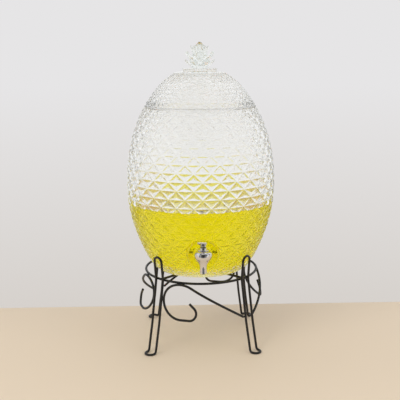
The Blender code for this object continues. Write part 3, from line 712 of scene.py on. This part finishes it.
# %% [markdown]
# ## The drink
# The jar is a little under half full of a yellow drink. Its colour comes from depth: light loses
# its blue on the way through 250 mm of liquid, so a volume absorption makes it. A weak scattering
# that throws light mostly forward stands for the haze of pulp, and keeps the middle from going
# dark. Only the free surface bends light, with sweetened water's IOR of 1.34. The side against
# the glass is plain transparent, because the wetted glass has already bent the light there. The
# side must not leave a film of air at the wall, which would turn it to silver, so it is drawn a
# quarter of a millimetre into the glass. The top edge climbs the wall by a millimetre, as water
# does.

# %% Drink materials
def drink_material(name, at_surface):
    material, tree = new_material(name)
    dye = add_node(tree, "ShaderNodeVolumeAbsorption", sockets={
        "Color": linear("fffc12"), "Density": 31.0,
    })
    haze = add_node(tree, "ShaderNodeVolumeScatter", sockets={
        "Color": linear("ffffff"), "Density": 2.2, "Anisotropy": 0.9,
    })
    body = add_node(tree, "ShaderNodeAddShader", sockets={
        0: dye.outputs["Volume"], 1: haze.outputs["Volume"],
    }).outputs["Shader"]
    if at_surface:
        close_material(tree, {
            "Base Color": linear("ffffff"), "Roughness": 0.0, "IOR": drink_index,
            "Transmission Weight": 1.0,
        }, body)
    else:
        clear = add_node(tree, "ShaderNodeBsdfTransparent")
        add_node(tree, "ShaderNodeOutputMaterial", sockets={
            "Surface": clear.outputs["BSDF"], "Volume": body,
        })
    return material


drink_surface = drink_material("lemon_drink_surface", True)
drink_side = drink_material("lemon_drink_against_glass", False)

# %% Drink in the jar and in the pocket behind the boss
soak = 0.25 * mm
climb = 1 * mm
outline = inner_floor(soak) + inner_wall(floor_level + floor_round, drink_level, soak)
edge_radius = outline[-1][0]
outline += [
    (edge_radius - 1 * mm, drink_level - 0.6 * climb),
    (edge_radius - 3 * mm, drink_level - climb),
    (0, drink_level - climb),
]
drink = turned("drink_fill", outline, round_steps)
pocket_fill = turned("pocket_fill", rod_outline(pocket_radius + soak, 0, pocket_end + soak), 64)
combine(drink, place(pocket_fill, (0, 0, tap_level), quarter_turn), "UNION")
place(drink, axis)
cover(drink, drink_surface, drink_side)
for face in drink.data.polygons:
    if not (face.center.z > drink_level - 1.1 * climb and face.normal.z > 0.5):
        face.material_index = 1
fit(drink, "jar", "jar_glass")

# %% [markdown]
# ## Black wire
# The stand is 4 mm steel wire, bent cold, spot welded and powder coated in black. Baked powder
# flows out to a semi-gloss skin with a faint orange peel, here some 0.9 mm wide, which breaks the
# highlights along the rods. A very slow change in roughness stands for thinner coat on the bends.

# %% Powder coat
coat, tree = new_material("powder_coat_black_semi_gloss")
where, _, normal = grained(tree, 0.9 * mm, 0.35, 0.05 * mm, 1.0)
thin = add_node(tree, "ShaderNodeTexNoise", sockets={
    "Vector": where, "Scale": 1 / (24 * mm), "Detail": 2.0,
})
gloss = add_node(tree, "ShaderNodeMapRange", sockets={
    "Value": thin.outputs["Fac"], "From Min": 0.3, "From Max": 0.7, "To Min": 0.32, "To Max": 0.44,
})
shade = add_node(tree, "ShaderNodeMix", {"data_type": "RGBA"}, {
    "Factor": thin.outputs["Fac"], "A": linear("171615"), "B": linear("201e1c"),
})
close_material(tree, {
    "Base Color": shade.outputs["Result"], "Roughness": gloss.outputs["Result"], "IOR": 1.5,
    "Normal": normal,
})

# %% [markdown]
# ## Sweeping a wire
# A wire is a path with a round section. The path is drawn as straight runs between corners, each
# rounded to the radius of the bending die. A curve with a bevel sweeps the section along it, and
# is turned into a mesh so that every piece is a mesh in the end.

# %% Bent paths
rod_radius = 2.1 * mm
weld_gap = seat_gap


def bent(corners, bends, steps):
    """A closed path that rounds each corner to the radius of its bend."""
    path = []
    count = len(corners)
    for number, (corner, radius) in enumerate(zip(corners, bends)):
        back = (corners[number - 1] - corner).normalized()
        ahead = (corners[(number + 1) % count] - corner).normalized()
        opening = back.angle(ahead)
        reach = radius / math.tan(opening / 2)
        centre = corner + (back + ahead).normalized() * radius / math.sin(opening / 2)
        first = corner + back * reach - centre
        last = corner + ahead * reach - centre
        sweep = first.angle(last)
        for step in range(steps + 1):
            share = step / steps
            near_end = first * math.sin((1 - share) * sweep)
            far_end = last * math.sin(share * sweep)
            path.append(centre + (near_end + far_end) / math.sin(sweep))
    return path


# %% Swept wires
def wire(name, path, radius, closed=False):
    curve = bpy.data.curves.new(name, "CURVE")
    curve.dimensions = "3D"
    curve.bevel_depth = radius
    curve.bevel_resolution = 4
    curve.use_fill_caps = not closed
    spline = curve.splines.new("POLY")
    spline.points.add(len(path) - 1)
    for point, target in zip(spline.points, path):
        point.co = (*target, 1.0)
    spline.use_cyclic_u = closed
    guide = in_scene(name, curve)
    mesh = final_mesh(guide)
    bpy.data.objects.remove(guide, do_unlink=True)
    mesh.shade_smooth()
    mesh.set_sharp_from_angle(angle=math.radians(50))
    return in_scene(name, mesh)


def fit_on_stand(piece, turn=0.0, *nodes):
    """Coats a piece of the stand, turns it about the axis and gives it to its body."""
    place(piece, axis, turn=turn)
    cover(piece, coat)
    fit(piece, "stand", "wire_coat", *nodes)


# %% [markdown]
# ## Ring, legs and cross
# The ring carries the jar's base on the cross inside it. Each leg is one closed hairpin: a loop
# for a foot, two rods that lean in to the ring's outer side and follow the jar, and a round top.
# The foot loops lie on the table, and their undersides are worn flat by a third of a millimetre.

# %% Ring and cross
ring_radius = jar_radius - 30.8 * mm
ring_height = 128 * mm
ring_path = []
add_ring(ring_path, ring_radius, ring_height, 160)
fit_on_stand(wire("ring_wire", ring_path, rod_radius, True), 0.0, "support_ring")
brace_end = ring_radius - rod_radius - weld_gap
brace_start = rod_radius + weld_gap
for part, start, azimuth in (
    ("through", -brace_end, 45),
    ("half_front_right", brace_start, 315),
    ("half_rear_left", brace_start, 135),
):
    line = [Vector((start, 0, ring_height)), Vector((brace_end, 0, ring_height))]
    brace = wire("cross_" + part, line, rod_radius)
    fit_on_stand(brace, math.radians(azimuth), "brace_" + part)

# %% Legs
leg_rod_offset = 8.45 * mm
leg_waist_reach = ring_radius + 2 * rod_radius + weld_gap
leg_knee_reach = ring_radius + 15.2 * mm
leg_knee_height = 0.414 * ring_height
foot_height = rod_radius - 0.3 * mm
leg_side = (
    (ring_radius + 37.6 * mm, foot_height, leg_rod_offset),
    (ring_radius + 24.9 * mm, foot_height, 5 * mm),
    (leg_knee_reach, leg_knee_height, 150 * mm),
    (leg_waist_reach, ring_height, 40 * mm),
    (ring_radius + 8.1 * mm, ring_height + 40.8 * mm, leg_rod_offset),
)
leg_azimuths = {"front_left": 225, "front_right": 315, "rear_right": 45, "rear_left": 135}
rising = [Vector((reach, leg_rod_offset, height)) for reach, height, bend in leg_side]
falling = [Vector((reach, -leg_rod_offset, height)) for reach, height, bend in reversed(leg_side)]
bends = [bend for reach, height, bend in leg_side]
leg_path = bent(rising + falling, bends + bends[::-1], 10)
for name, azimuth in leg_azimuths.items():
    leg = wire("leg_wire_" + name, leg_path, rod_radius, True)
    for vertex in leg.data.vertices:
        vertex.co.z = max(vertex.co.z, 0.0)
    fit_on_stand(leg, math.radians(azimuth), "leg_" + name)

# %% [markdown]
# ## Scrolls
# Between each pair of legs hangs one scroll: a straight tail from one leg, an open oval, and a
# small curl with a straight tip. They lie on the cone of the legs, so the path is drawn on a flat
# sheet, with one number along the side and one for the height, and is then wrapped on the cone.

# %% The cone of the legs
scroll_top = ring_height - 2.5 * mm
scroll_tail = 0.499 * ring_height
half_width = 33 * mm
half_height = 29.8 * mm
scroll_middle = scroll_top - half_height
curl_radius = 12.3 * mm
curl_inset = 18.4 * mm
curl_turn = math.radians(135)
tip_length = 11 * mm
touch = 2 * rod_radius + weld_gap


def leg_reach_at(height):
    share = (ring_height - height) / (ring_height - leg_knee_height)
    return leg_waist_reach + share * (leg_knee_reach - leg_waist_reach)


def scroll_radius_at(height):
    top = ring_radius + math.sqrt(touch**2 - (ring_height - scroll_top) ** 2)
    return leg_reach_at(height) - leg_reach_at(scroll_top) + top


def scroll_point(along, height):
    radius = scroll_radius_at(height)
    return on_circle(radius, along / radius, height)


def scroll_weld_along(height):
    """How far along the side a wire at this height touches the leg's rod."""
    reach = leg_reach_at(height)
    radius = scroll_radius_at(height)
    angle = quarter_turn / 2 - math.atan(leg_rod_offset / reach)
    across = math.hypot(reach, leg_rod_offset) - radius
    return radius * angle - math.sqrt(touch**2 - across**2)


# %% The scroll's path
def scroll_path():
    middle = half_width - scroll_weld_along(scroll_middle)
    tail_along = scroll_weld_along(scroll_tail)
    run = (tail_along - middle) / half_width
    fall = (scroll_tail - scroll_middle) / half_height
    leave = math.atan2(fall, run) + math.acos(1 / math.hypot(run, fall))
    start_along = middle + half_width * math.cos(leave)
    start_height = scroll_middle + half_height * math.sin(leave)
    path = []
    tail_steps = 24
    for step in range(tail_steps):
        share = step / tail_steps
        path.append(scroll_point(
            tail_along + share * (start_along - tail_along),
            scroll_tail + share * (start_height - scroll_tail),
        ))
    oval_steps = 64
    for step in range(oval_steps + 1):
        angle = leave + (half_turn + quarter_turn - leave) * step / oval_steps
        path.append(scroll_point(
            middle + half_width * math.cos(angle), scroll_middle + half_height * math.sin(angle),
        ))
    curl_along = middle + half_width - curl_inset
    curl_height = scroll_middle - half_height + curl_radius
    curl_steps = 24
    for step in range(curl_steps + 1):
        angle = curl_turn * step / curl_steps - quarter_turn
        along = curl_along + curl_radius * math.cos(angle)
        height = curl_height + curl_radius * math.sin(angle)
        path.append(scroll_point(along, height))
    end = curl_turn - quarter_turn
    along -= tip_length * math.sin(end)
    height += tip_length * math.cos(end)
    return path + [scroll_point(along, height)]


# %% Four scrolls
scroll_line = scroll_path()
scroll_sides = {"front": (270, 1), "right": (0, -1), "rear": (90, 1), "left": (180, -1)}
for name, (azimuth, flip) in scroll_sides.items():
    line = [Vector((point.x, flip * point.y, point.z)) for point in scroll_line]
    scroll = wire("scroll_wire_" + name, line, rod_radius)
    fit_on_stand(scroll, math.radians(azimuth), "scroll_" + name)
print("scrolls:", len(scroll_line), "points along each")

# %% [markdown]
# ## Weld beads
# Where two wires are spot welded they melt into each other a little, and the powder fills the
# corner. A small round bead sunk into both wires at each crossing gives that fillet, and closes
# the CAD's weld gaps of 0.3 mm. All of the beads are one piece of the stand.

# %% Beads at each crossing
bead_spots = []
for azimuth in leg_azimuths.values():
    turn = Matrix.Rotation(math.radians(azimuth), 4, "Z")
    reach = (ring_radius + leg_waist_reach) / 2
    for side in (leg_rod_offset, -leg_rod_offset):
        bead_spots.append(turn @ on_circle(reach, side / ring_radius, ring_height))
    bead_spots.append(turn @ Vector((ring_radius - touch / 2, 0, ring_height)))
for azimuth, flip in scroll_sides.values():
    turn = Matrix.Rotation(math.radians(azimuth), 4, "Z") @ Matrix.Scale(flip, 4, (0, 1, 0))
    top = scroll_point(half_width - scroll_weld_along(scroll_middle), scroll_top)
    on_ring = Vector((top.x, top.y, 0)).normalized() * ring_radius + Vector((0, 0, ring_height))
    bead_spots.append(turn @ ((top + on_ring) / 2))
    for along_sign, height in ((1, scroll_tail), (-1, scroll_middle)):
        spot = scroll_point(along_sign * scroll_weld_along(height), height)
        rod = Vector((leg_reach_at(height), -leg_rod_offset, height))
        rod = Matrix.Rotation(quarter_turn / 2, 4, "Z") @ rod
        rod.y *= along_sign
        bead_spots.append(turn @ ((spot + rod) / 2))
bead_spots.append(Vector((0, 0, ring_height)))
work = bmesh.new()
for spot in bead_spots:
    bmesh.ops.create_icosphere(
        work, subdivisions=2, radius=1.7 * mm, matrix=Matrix.Translation(spot),
    )
for face in work.faces:
    face.smooth = True
bead_mesh = bpy.data.meshes.new("weld_beads")
work.to_mesh(bead_mesh)
work.free()
fit_on_stand(in_scene("weld_beads", bead_mesh))
print("weld beads:", len(bead_spots))

# %% [markdown]
# ## Chrome and the small materials
# The tap is moulded ABS with bright chrome plating. Chrome is a mirror with a slightly cool grey,
# so almost all that is seen on it is the room. Plating over a moulding keeps a trace of the
# mould's flow, waves some 6 mm wide, which bend the reflections a little. The stem, pin and spring
# are drawn stainless steel. Its lengthwise lines are too fine to show, so they are 0.15 mm wide
# here. The washers are milky silicone and the nut is white polypropylene, which both let light in
# a little way under the surface. The mould's texture on them is coarser than life for the same
# reason, about a millimetre wide.

# %% Chrome plating
chrome, tree = new_material("chrome_plated_abs_bright")
_, flow, normal = grained(tree, 6 * mm, 0.7, 0.3 * mm, 1.0)
haze = add_node(tree, "ShaderNodeMapRange", sockets={
    "Value": flow, "From Min": 0.3, "From Max": 0.7, "To Min": 0.02, "To Max": 0.06,
})
close_material(tree, {
    "Base Color": linear("e3e2e4"), "Metallic": 1.0, "Roughness": haze.outputs["Result"],
    "Normal": normal,
})

# %% Drawn stainless steel
steel, tree = new_material("stainless_steel_drawn")
_, lines, normal = grained(tree, 0.15 * mm, 0.3, 0.02 * mm, length=4 * mm)
wear = add_node(tree, "ShaderNodeMapRange", sockets={
    "Value": lines, "From Min": 0.3, "From Max": 0.7, "To Min": 0.2, "To Max": 0.34,
})
close_material(tree, {
    "Base Color": linear("c8c8ca"), "Metallic": 1.0, "Roughness": wear.outputs["Result"],
    "Normal": normal,
})


# %% Silicone and polypropylene
def moulded_plastic(name, colour, other, roughness, grain):
    material, tree = new_material(name)
    _, skin, normal = grained(tree, grain, 0.4, 0.04 * mm)
    shade = add_node(tree, "ShaderNodeMix", {"data_type": "RGBA"}, {
        "Factor": skin, "A": linear(colour), "B": linear(other),
    })
    close_material(tree, {
        "Base Color": shade.outputs["Result"], "Roughness": roughness, "IOR": 1.45,
        "Subsurface Weight": 0.25, "Subsurface Scale": 1.5 * mm, "Normal": normal,
    })
    return material


silicone = moulded_plastic("silicone_rubber_moulded", "d9d8d2", "cfcdc6", 0.55, 0.8 * mm)
polypropylene = moulded_plastic("polypropylene_moulded", "e6e5df", "dddcd5", 0.4, 1.2 * mm)

# %% Inner pieces keep their CAD solids
for node, material in (
    ("valve_stem", steel),
    ("lever_pin", steel),
    ("valve_seal", silicone),
    ("outer_washer", silicone),
    ("inner_washer", silicone),
    ("lock_nut", polypropylene),
):
    cover(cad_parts[node], material)
    print(node, "is", material.name)

# %% [markdown]
# ## The tap's body
# The body is a small chalice: a bulb that tapers to a slim nozzle, with a flange and a shank at
# its back. Its outline is a table of shares as in the CAD, with a bulb fuller by up to a
# millimetre, run through a smooth curve and turned in 64 steps, so that the mirror finish shows
# no facets. The flange and shank are turned the same way, laid on their side and joined to it,
# and the chamber and bores are cut last.

# %% Body, flange and shank
body_radius = 14.2 * mm
body_height = 39.0 * mm
nozzle_drop = 25.8 * mm
nozzle_round = 0.5 * mm
shoulder_height = body_height - nozzle_drop
spigot_outline_shares = (
    (0.385, 0.000), (0.385, 0.214), (0.440, 0.390), (0.660, 0.550), (0.900, 0.670),
    (0.990, 0.760), (1.000, 0.845), (0.970, 0.920), (0.860, 0.970), (0.690, 1.000),
)
tap_axis_reach = 13.8 * mm
washer_thickness = 2 * mm
washer_face = boss_reach + seat_gap + washer_thickness + seat_gap
tap_origin = axis + Vector((0, -washer_face - tap_axis_reach, tap_level))
knots = [
    Vector((out * body_radius, rise * body_height - nozzle_drop))
    for out, rise in spigot_outline_shares
]
outline = [(0, -nozzle_drop), (knots[0].x - nozzle_round, -nozzle_drop)]
outline += [(knots[0].x, -nozzle_drop + nozzle_round)]
outline += [tuple(point) for point in flowing(knots[1:], 6)] + [(0, shoulder_height)]
tap_body = turned("tap_body", outline, 64)
shank_radius = 7 * mm
shank_length = 37.5 * mm
flange_radius = 12.5 * mm
shank = turned("shank", rounded((
    (0, 0),
    (shank_radius, 0),
    (shank_radius, tap_axis_reach - 3.6 * mm),
    (flange_radius, tap_axis_reach - 3 * mm),
    (flange_radius, tap_axis_reach),
    (shank_radius, tap_axis_reach),
    (shank_radius, shank_length),
    (0, shank_length),
), 0.5 * mm), 64)
combine(tap_body, place(shank, tilt=-quarter_turn), "UNION")

# %% Chamber and bores
nozzle_bore = 3.8 * mm
seat_level = -7 * mm
chamber_radius = 8.5 * mm
chamber = turned("chamber", (
    (0, -nozzle_drop - overrun),
    (nozzle_bore, -nozzle_drop - overrun),
    (nozzle_bore, seat_level),
    (6.6 * mm, seat_level),
    (chamber_radius, 0),
    (chamber_radius, shoulder_height + overrun),
    (0, shoulder_height + overrun),
), 48)
combine(tap_body, chamber, "DIFFERENCE")
bore = turned("bore", rod_outline(5 * mm, 0, 40 * mm), 32)
combine(tap_body, place(bore, tilt=-quarter_turn), "DIFFERENCE")
print("tap bored:", len(tap_body.data.polygons), "faces")


# %% Give plated pieces their finish and their body
def fit_plated(piece, body, node, sharp=40):
    piece.data.shade_smooth()
    piece.data.set_sharp_from_angle(angle=math.radians(sharp))
    cover(piece, chrome)
    fit(piece, body, "tap_plating", node)


fit_plated(place(tap_body, tap_origin), "jar", "spigot_body")

# %% [markdown]
# ## Bonnet and lever
# The bonnet is a turned cap on the chamber with a short neck. The lever stands on that neck: a
# fork round the stem's eye, whose foot is a cam. Its side view comes from the CAD, an involute
# that lifts the valve evenly as the lever tips up, and its plan widens to a thumb rest. Two
# extrusions cut each other to give the solid, and a small bevel softens the plated edges.

# %% Bonnet
bonnet_low = shoulder_height + seat_gap
bonnet_top = bonnet_low + 4.7 * mm
bonnet_step = bonnet_low + 1.7 * mm
bonnet_plug = shoulder_height - 4 * mm
stem_hole = 2 * mm
bonnet_outline = (
    (stem_hole, bonnet_plug), (8.2 * mm, bonnet_plug), (8.2 * mm, bonnet_low),
    (9.2 * mm, bonnet_low), (9.2 * mm, bonnet_step), (5.5 * mm, bonnet_step),
    (5.5 * mm, bonnet_top), (stem_hole, bonnet_top),
)
bonnet = turned("tap_bonnet", rounded(bonnet_outline, 0.5 * mm), 64, True)
fit_plated(place(bonnet, tap_origin), "jar", "bonnet")

# %% Lever sizes and the outline of its side
cam_low = 3.5 * mm
valve_lift = 3.5 * mm
lever_length = 17 * mm
lever_rise = 8.2 * mm
hub_half = 4.6 * mm
tip_half = 7.5 * mm
lever_heading = -quarter_turn - math.radians(10)
pin_height = bonnet_top + seat_gap + cam_low
lever_side = (
    (-0.275, 0.477), (0.206, 0.527), (0.667, 0.720), (0.900, 1.110), (1.000, 1.010),
    (0.800, 0.600), (0.500, 0.300), (0.275, -0.107), (0.103, -0.427),
)
lever_plan = ((0.400, 0.460), (0.800, 1.000), (0.950, 0.900), (1.118, 0.500))
rise_rate = valve_lift / quarter_turn
cam_steps = 16
outline = []
for step in range(cam_steps + 1):
    angle = quarter_turn * step / cam_steps
    reach = cam_low + rise_rate * angle
    outline.append((
        -reach * math.sin(angle) - rise_rate * math.cos(angle),
        -reach * math.cos(angle) + rise_rate * math.sin(angle),
    ))
outline += [(lever_length * along, lever_rise * up) for along, up in lever_side]
print("cam lifts", round(rise_rate * quarter_turn / mm, 2), "mm in a quarter turn")


# %% Lever: side and plan cut each other, then the fork and the pin's hole
def extruded(name, outline, width):
    count = len(outline)
    points = [Vector((x, y, z)) for y in (-width / 2, width / 2) for x, z in outline]
    faces = [tuple(range(count)), tuple(range(2 * count - 1, count - 1, -1))]
    for step in range(count):
        after = (step + 1) % count
        faces.append((step, after, after + count, step + count))
    return mesh_object(name, points, faces)


lever = extruded("tap_lever", outline, 30 * mm)
side = [(-lever_length, hub_half), (cam_low, hub_half)]
side += [(lever_length * along, tip_half * out) for along, out in lever_plan]
plan = extruded("plan", side + [(along, -out) for along, out in reversed(side)], 50 * mm)
combine(lever, place(plan, tilt=quarter_turn), "INTERSECT")
beyond = 25 * mm
slot_front = 4 * mm
slot = extruded("slot", (
    (-beyond, -beyond), (slot_front, -beyond), (slot_front, beyond), (-beyond, beyond),
), 3.8 * mm)
combine(lever, slot, "DIFFERENCE")
pin_hole = turned("pin_hole", rod_outline(1.4 * mm, -9 * mm, 9 * mm), 24)
combine(lever, place(pin_hole, tilt=quarter_turn), "DIFFERENCE")
soft = lever.modifiers.new("plated_edges", "BEVEL")
soft.width = 0.35 * mm
soft.segments = 2
soft.limit_method = "ANGLE"
soft.angle_limit = math.radians(40)
applied(lever)
place(lever, tap_origin + Vector((0, 0, pin_height)), 0, lever_heading)
fit_plated(lever, "lever", "lever", 35)

# %% [markdown]
# ## The return spring
# Inside the tap a small compression spring pushes the valve shut. The CAD keeps it as a plain
# coil, so it is wound again here in round wire, with its end turns closed up as on a real spring.
# Its lower end must rise with the valve, or the valve's collar would cut through it. Here the
# coil is wound at rest and rides with the jar.

# %% Wound spring
spring_low, spring_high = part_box("return_spring")
spring_wire = 0.4 * mm
spring_radius = (spring_high.x - spring_low.x) / 2 - spring_wire
spring_middle = Vector((tap_origin.x, tap_origin.y, 0))
spring_length = spring_high.z - spring_low.z
spring_turns = 5
turn_steps = 24
end_turn = 0.75
end_rise = 2.1 * spring_wire * end_turn
rise = spring_length - 2 * spring_wire
spring_path = []
for step in range(spring_turns * turn_steps + 1):
    turns = step / turn_steps
    free = (turns - end_turn) / (spring_turns - 2 * end_turn)
    if turns < end_turn:
        height = end_rise * turns / end_turn
    elif turns > spring_turns - end_turn:
        height = rise - end_rise * (spring_turns - turns) / end_turn
    else:
        height = end_rise + free * (rise - 2 * end_rise)
    height += spring_low.z + spring_wire
    spring_path.append(spring_middle + on_circle(spring_radius, full_turn * turns, height))
spring = wire("spring_coil", spring_path, spring_wire)
cover(spring, steel)
fit(spring, "jar", "steel", "return_spring")
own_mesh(spring)

# %% [markdown]
# ## Table, background and light
# The object stands on a plain pale table top with a pale wall colour behind it, darker towards
# the table edge by painted shade. The wall isn't a mesh, so it never hides the object from behind:
# the world shows its colour to the camera.
# Glass and chrome live from what surrounds them, so bent and mirrored rays see a simple studio
# instead: pale behind, bright overhead and greyer in front, which draws the glass's edges. Metal
# also sees a dark side where the camera stands and soft dark patches, as of a furnished room, or
# the tap would look like white plastic. The table ends 45 cm in front of the jar's axis, so the
# tap mirrors that room below it too. The lamps light the object but are hidden from mirrors and
# glass, which would show them as hard white squares.

# %% Table top
table_rear = axis.y + 156 * mm
table_front = axis.y - 450 * mm
table_half = 1.6
corners = [
    (x, y, z)
    for z in (-30 * mm, 0.0)
    for x, y in (
        (-table_half, table_front), (table_half, table_front),
        (table_half, table_rear), (-table_half, table_rear),
    )
]
table = mesh_object("table_top", corners, [
    (0, 1, 2, 3), (4, 5, 6, 7), (0, 1, 5, 4), (1, 2, 6, 5), (2, 3, 7, 6), (3, 0, 4, 7),
])
table_paint, tree = new_material("table_pale_matt")
close_material(tree, {"Base Color": linear("e9d6bd"), "Roughness": 0.6})
cover(table, table_paint)
print("table ends", round(table_rear, 3), "m behind and", round(-table_front, 3), "m in front")

# %% World: where a ray goes
world = bpy.data.worlds.new("studio")
bpy.context.scene.world = world
world.use_nodes = True
tree = world.node_tree
tree.nodes.clear()
where = add_node(tree, "ShaderNodeTexCoord").outputs["Generated"]
parts = add_node(tree, "ShaderNodeSeparateXYZ", sockets={"Vector": where})
patches = add_node(tree, "ShaderNodeTexNoise", sockets={
    "Vector": where, "Scale": 3.2, "Detail": 1.0,
})
shares = {}
for name, value, start, end, interpolation in (
    # Share of the wall's paler colour by ray height: lower down, the wall is darkened by painted
    # shade.
    ("above the wall's painted shade", parts.outputs["Z"], -0.33, -0.05, "LINEAR"),
    ("overhead", parts.outputs["Z"], 0.12, 0.5, "SMOOTHSTEP"),
    ("in front", parts.outputs["Y"], -0.5, -0.85, "SMOOTHSTEP"),
    ("by the camera", parts.outputs["Y"], -0.88, -0.97, "SMOOTHSTEP"),
    ("in a dark patch", patches.outputs["Fac"], 0.5, 0.6, "SMOOTHSTEP"),
):
    shares[name] = add_node(tree, "ShaderNodeMapRange", {"interpolation_type": interpolation}, {
        "Value": value, "From Min": start, "From Max": end,
    }).outputs["Result"]
print("world is shared out by:", ", ".join(shares))

# %% World: plain for the camera and for light, a studio for mirrors and glass
rays = add_node(tree, "ShaderNodeLightPath").outputs
looks = {}
for name, share, under, over in (
    # The wall look runs from d6d1cc at the table edge to e6e5e6 higher up: painted shade near the
    # table.
    ("wall", shares["above the wall's painted shade"], "d6d1cc", "e6e5e6"),
    ("studio", shares["overhead"], "f3f4f3", "fafafa"),
    ("through glass", shares["in front"], "studio", "bcbdbb"),
    ("round about", shares["in front"], "studio", "8c8b89"),
    ("with dark side", shares["by the camera"], "round about", "2f2d2c"),
    ("on metal", shares["in a dark patch"], "with dark side", "4b4845"),
    ("plain", rays["Is Camera Ray"], "dadada", "wall"),
    ("mirrored", rays["Is Glossy Ray"], "plain", "on metal"),
    ("seen", rays["Is Transmission Ray"], "mirrored", "through glass"),
):
    looks[name] = add_node(tree, "ShaderNodeMix", {"data_type": "RGBA"}, {
        "Factor": share,
        "A": looks[under] if under in looks else linear(under),
        "B": looks[over] if over in looks else linear(over),
    }).outputs["Result"]
background = add_node(tree, "ShaderNodeBackground", sockets={"Color": looks["seen"]})
add_node(tree, "ShaderNodeOutputWorld", sockets={"Surface": background.outputs["Background"]})
print("world is mixed from:", ", ".join(looks))


# %% Soft lamps
def soft_lamp(name, location, size, power):
    lamp = bpy.data.lights.new(name, "AREA")
    lamp.shape = "SQUARE"
    lamp.size = size
    lamp.energy = power
    holder = in_scene(name, lamp)
    holder.location = location
    holder.visible_glossy = False
    holder.visible_transmission = False
    aim = axis + Vector((0, 0, 0.25)) - Vector(location)
    holder.rotation_euler = aim.to_track_quat("-Z", "Y").to_euler()
    print(name, power, "W from", location)


soft_lamp("key_lamp", (-1.3, -1.5, 1.9), 1.2, 20)
soft_lamp("fill_lamp", (1.6, -1.2, 1.3), 1.0, 8)

# %% [markdown]
# ## Camera
# The picture was taken from 1.31 m in front of the jar's axis and 0.52 m above the table, tilted
# down by 11.6 degrees, with a lens of 67.5 mm on a 36 mm wide frame. Those values come from
# fitting the ring, the feet and the egg's outline. Light crosses the relief and the walls many
# times, so rays may bend 32 times before they are given up, and the drink's haze needs bounces of
# its own, or it turns dark.

# %% Camera and bounces
camera_data = bpy.data.cameras.new("camera")
camera_data.lens = 67.5
camera_data.sensor_width = 36
camera = in_scene("camera", camera_data)
camera_reach = 1.310
swing = math.radians(1.5)
camera.location = (
    -camera_reach * math.sin(swing) - 1.1 * mm, axis.y - camera_reach * math.cos(swing), 0.521,
)
aim = Matrix.Rotation(-swing, 4, "Z") @ Matrix.Rotation(math.radians(90 - 11.6), 4, "X")
camera.rotation_euler = (aim @ Matrix.Rotation(math.radians(-0.4), 4, "Z")).to_euler()
scene = bpy.context.scene
scene.camera = camera
scene.cycles.max_bounces = 32
scene.cycles.transmission_bounces = 32
scene.cycles.glossy_bounces = 16
scene.cycles.volume_bounces = 12
scene.cycles.transparent_max_bounces = 32
scene.view_settings.view_transform = "Standard"
print("camera at:", [round(value, 4) for value in camera.location])
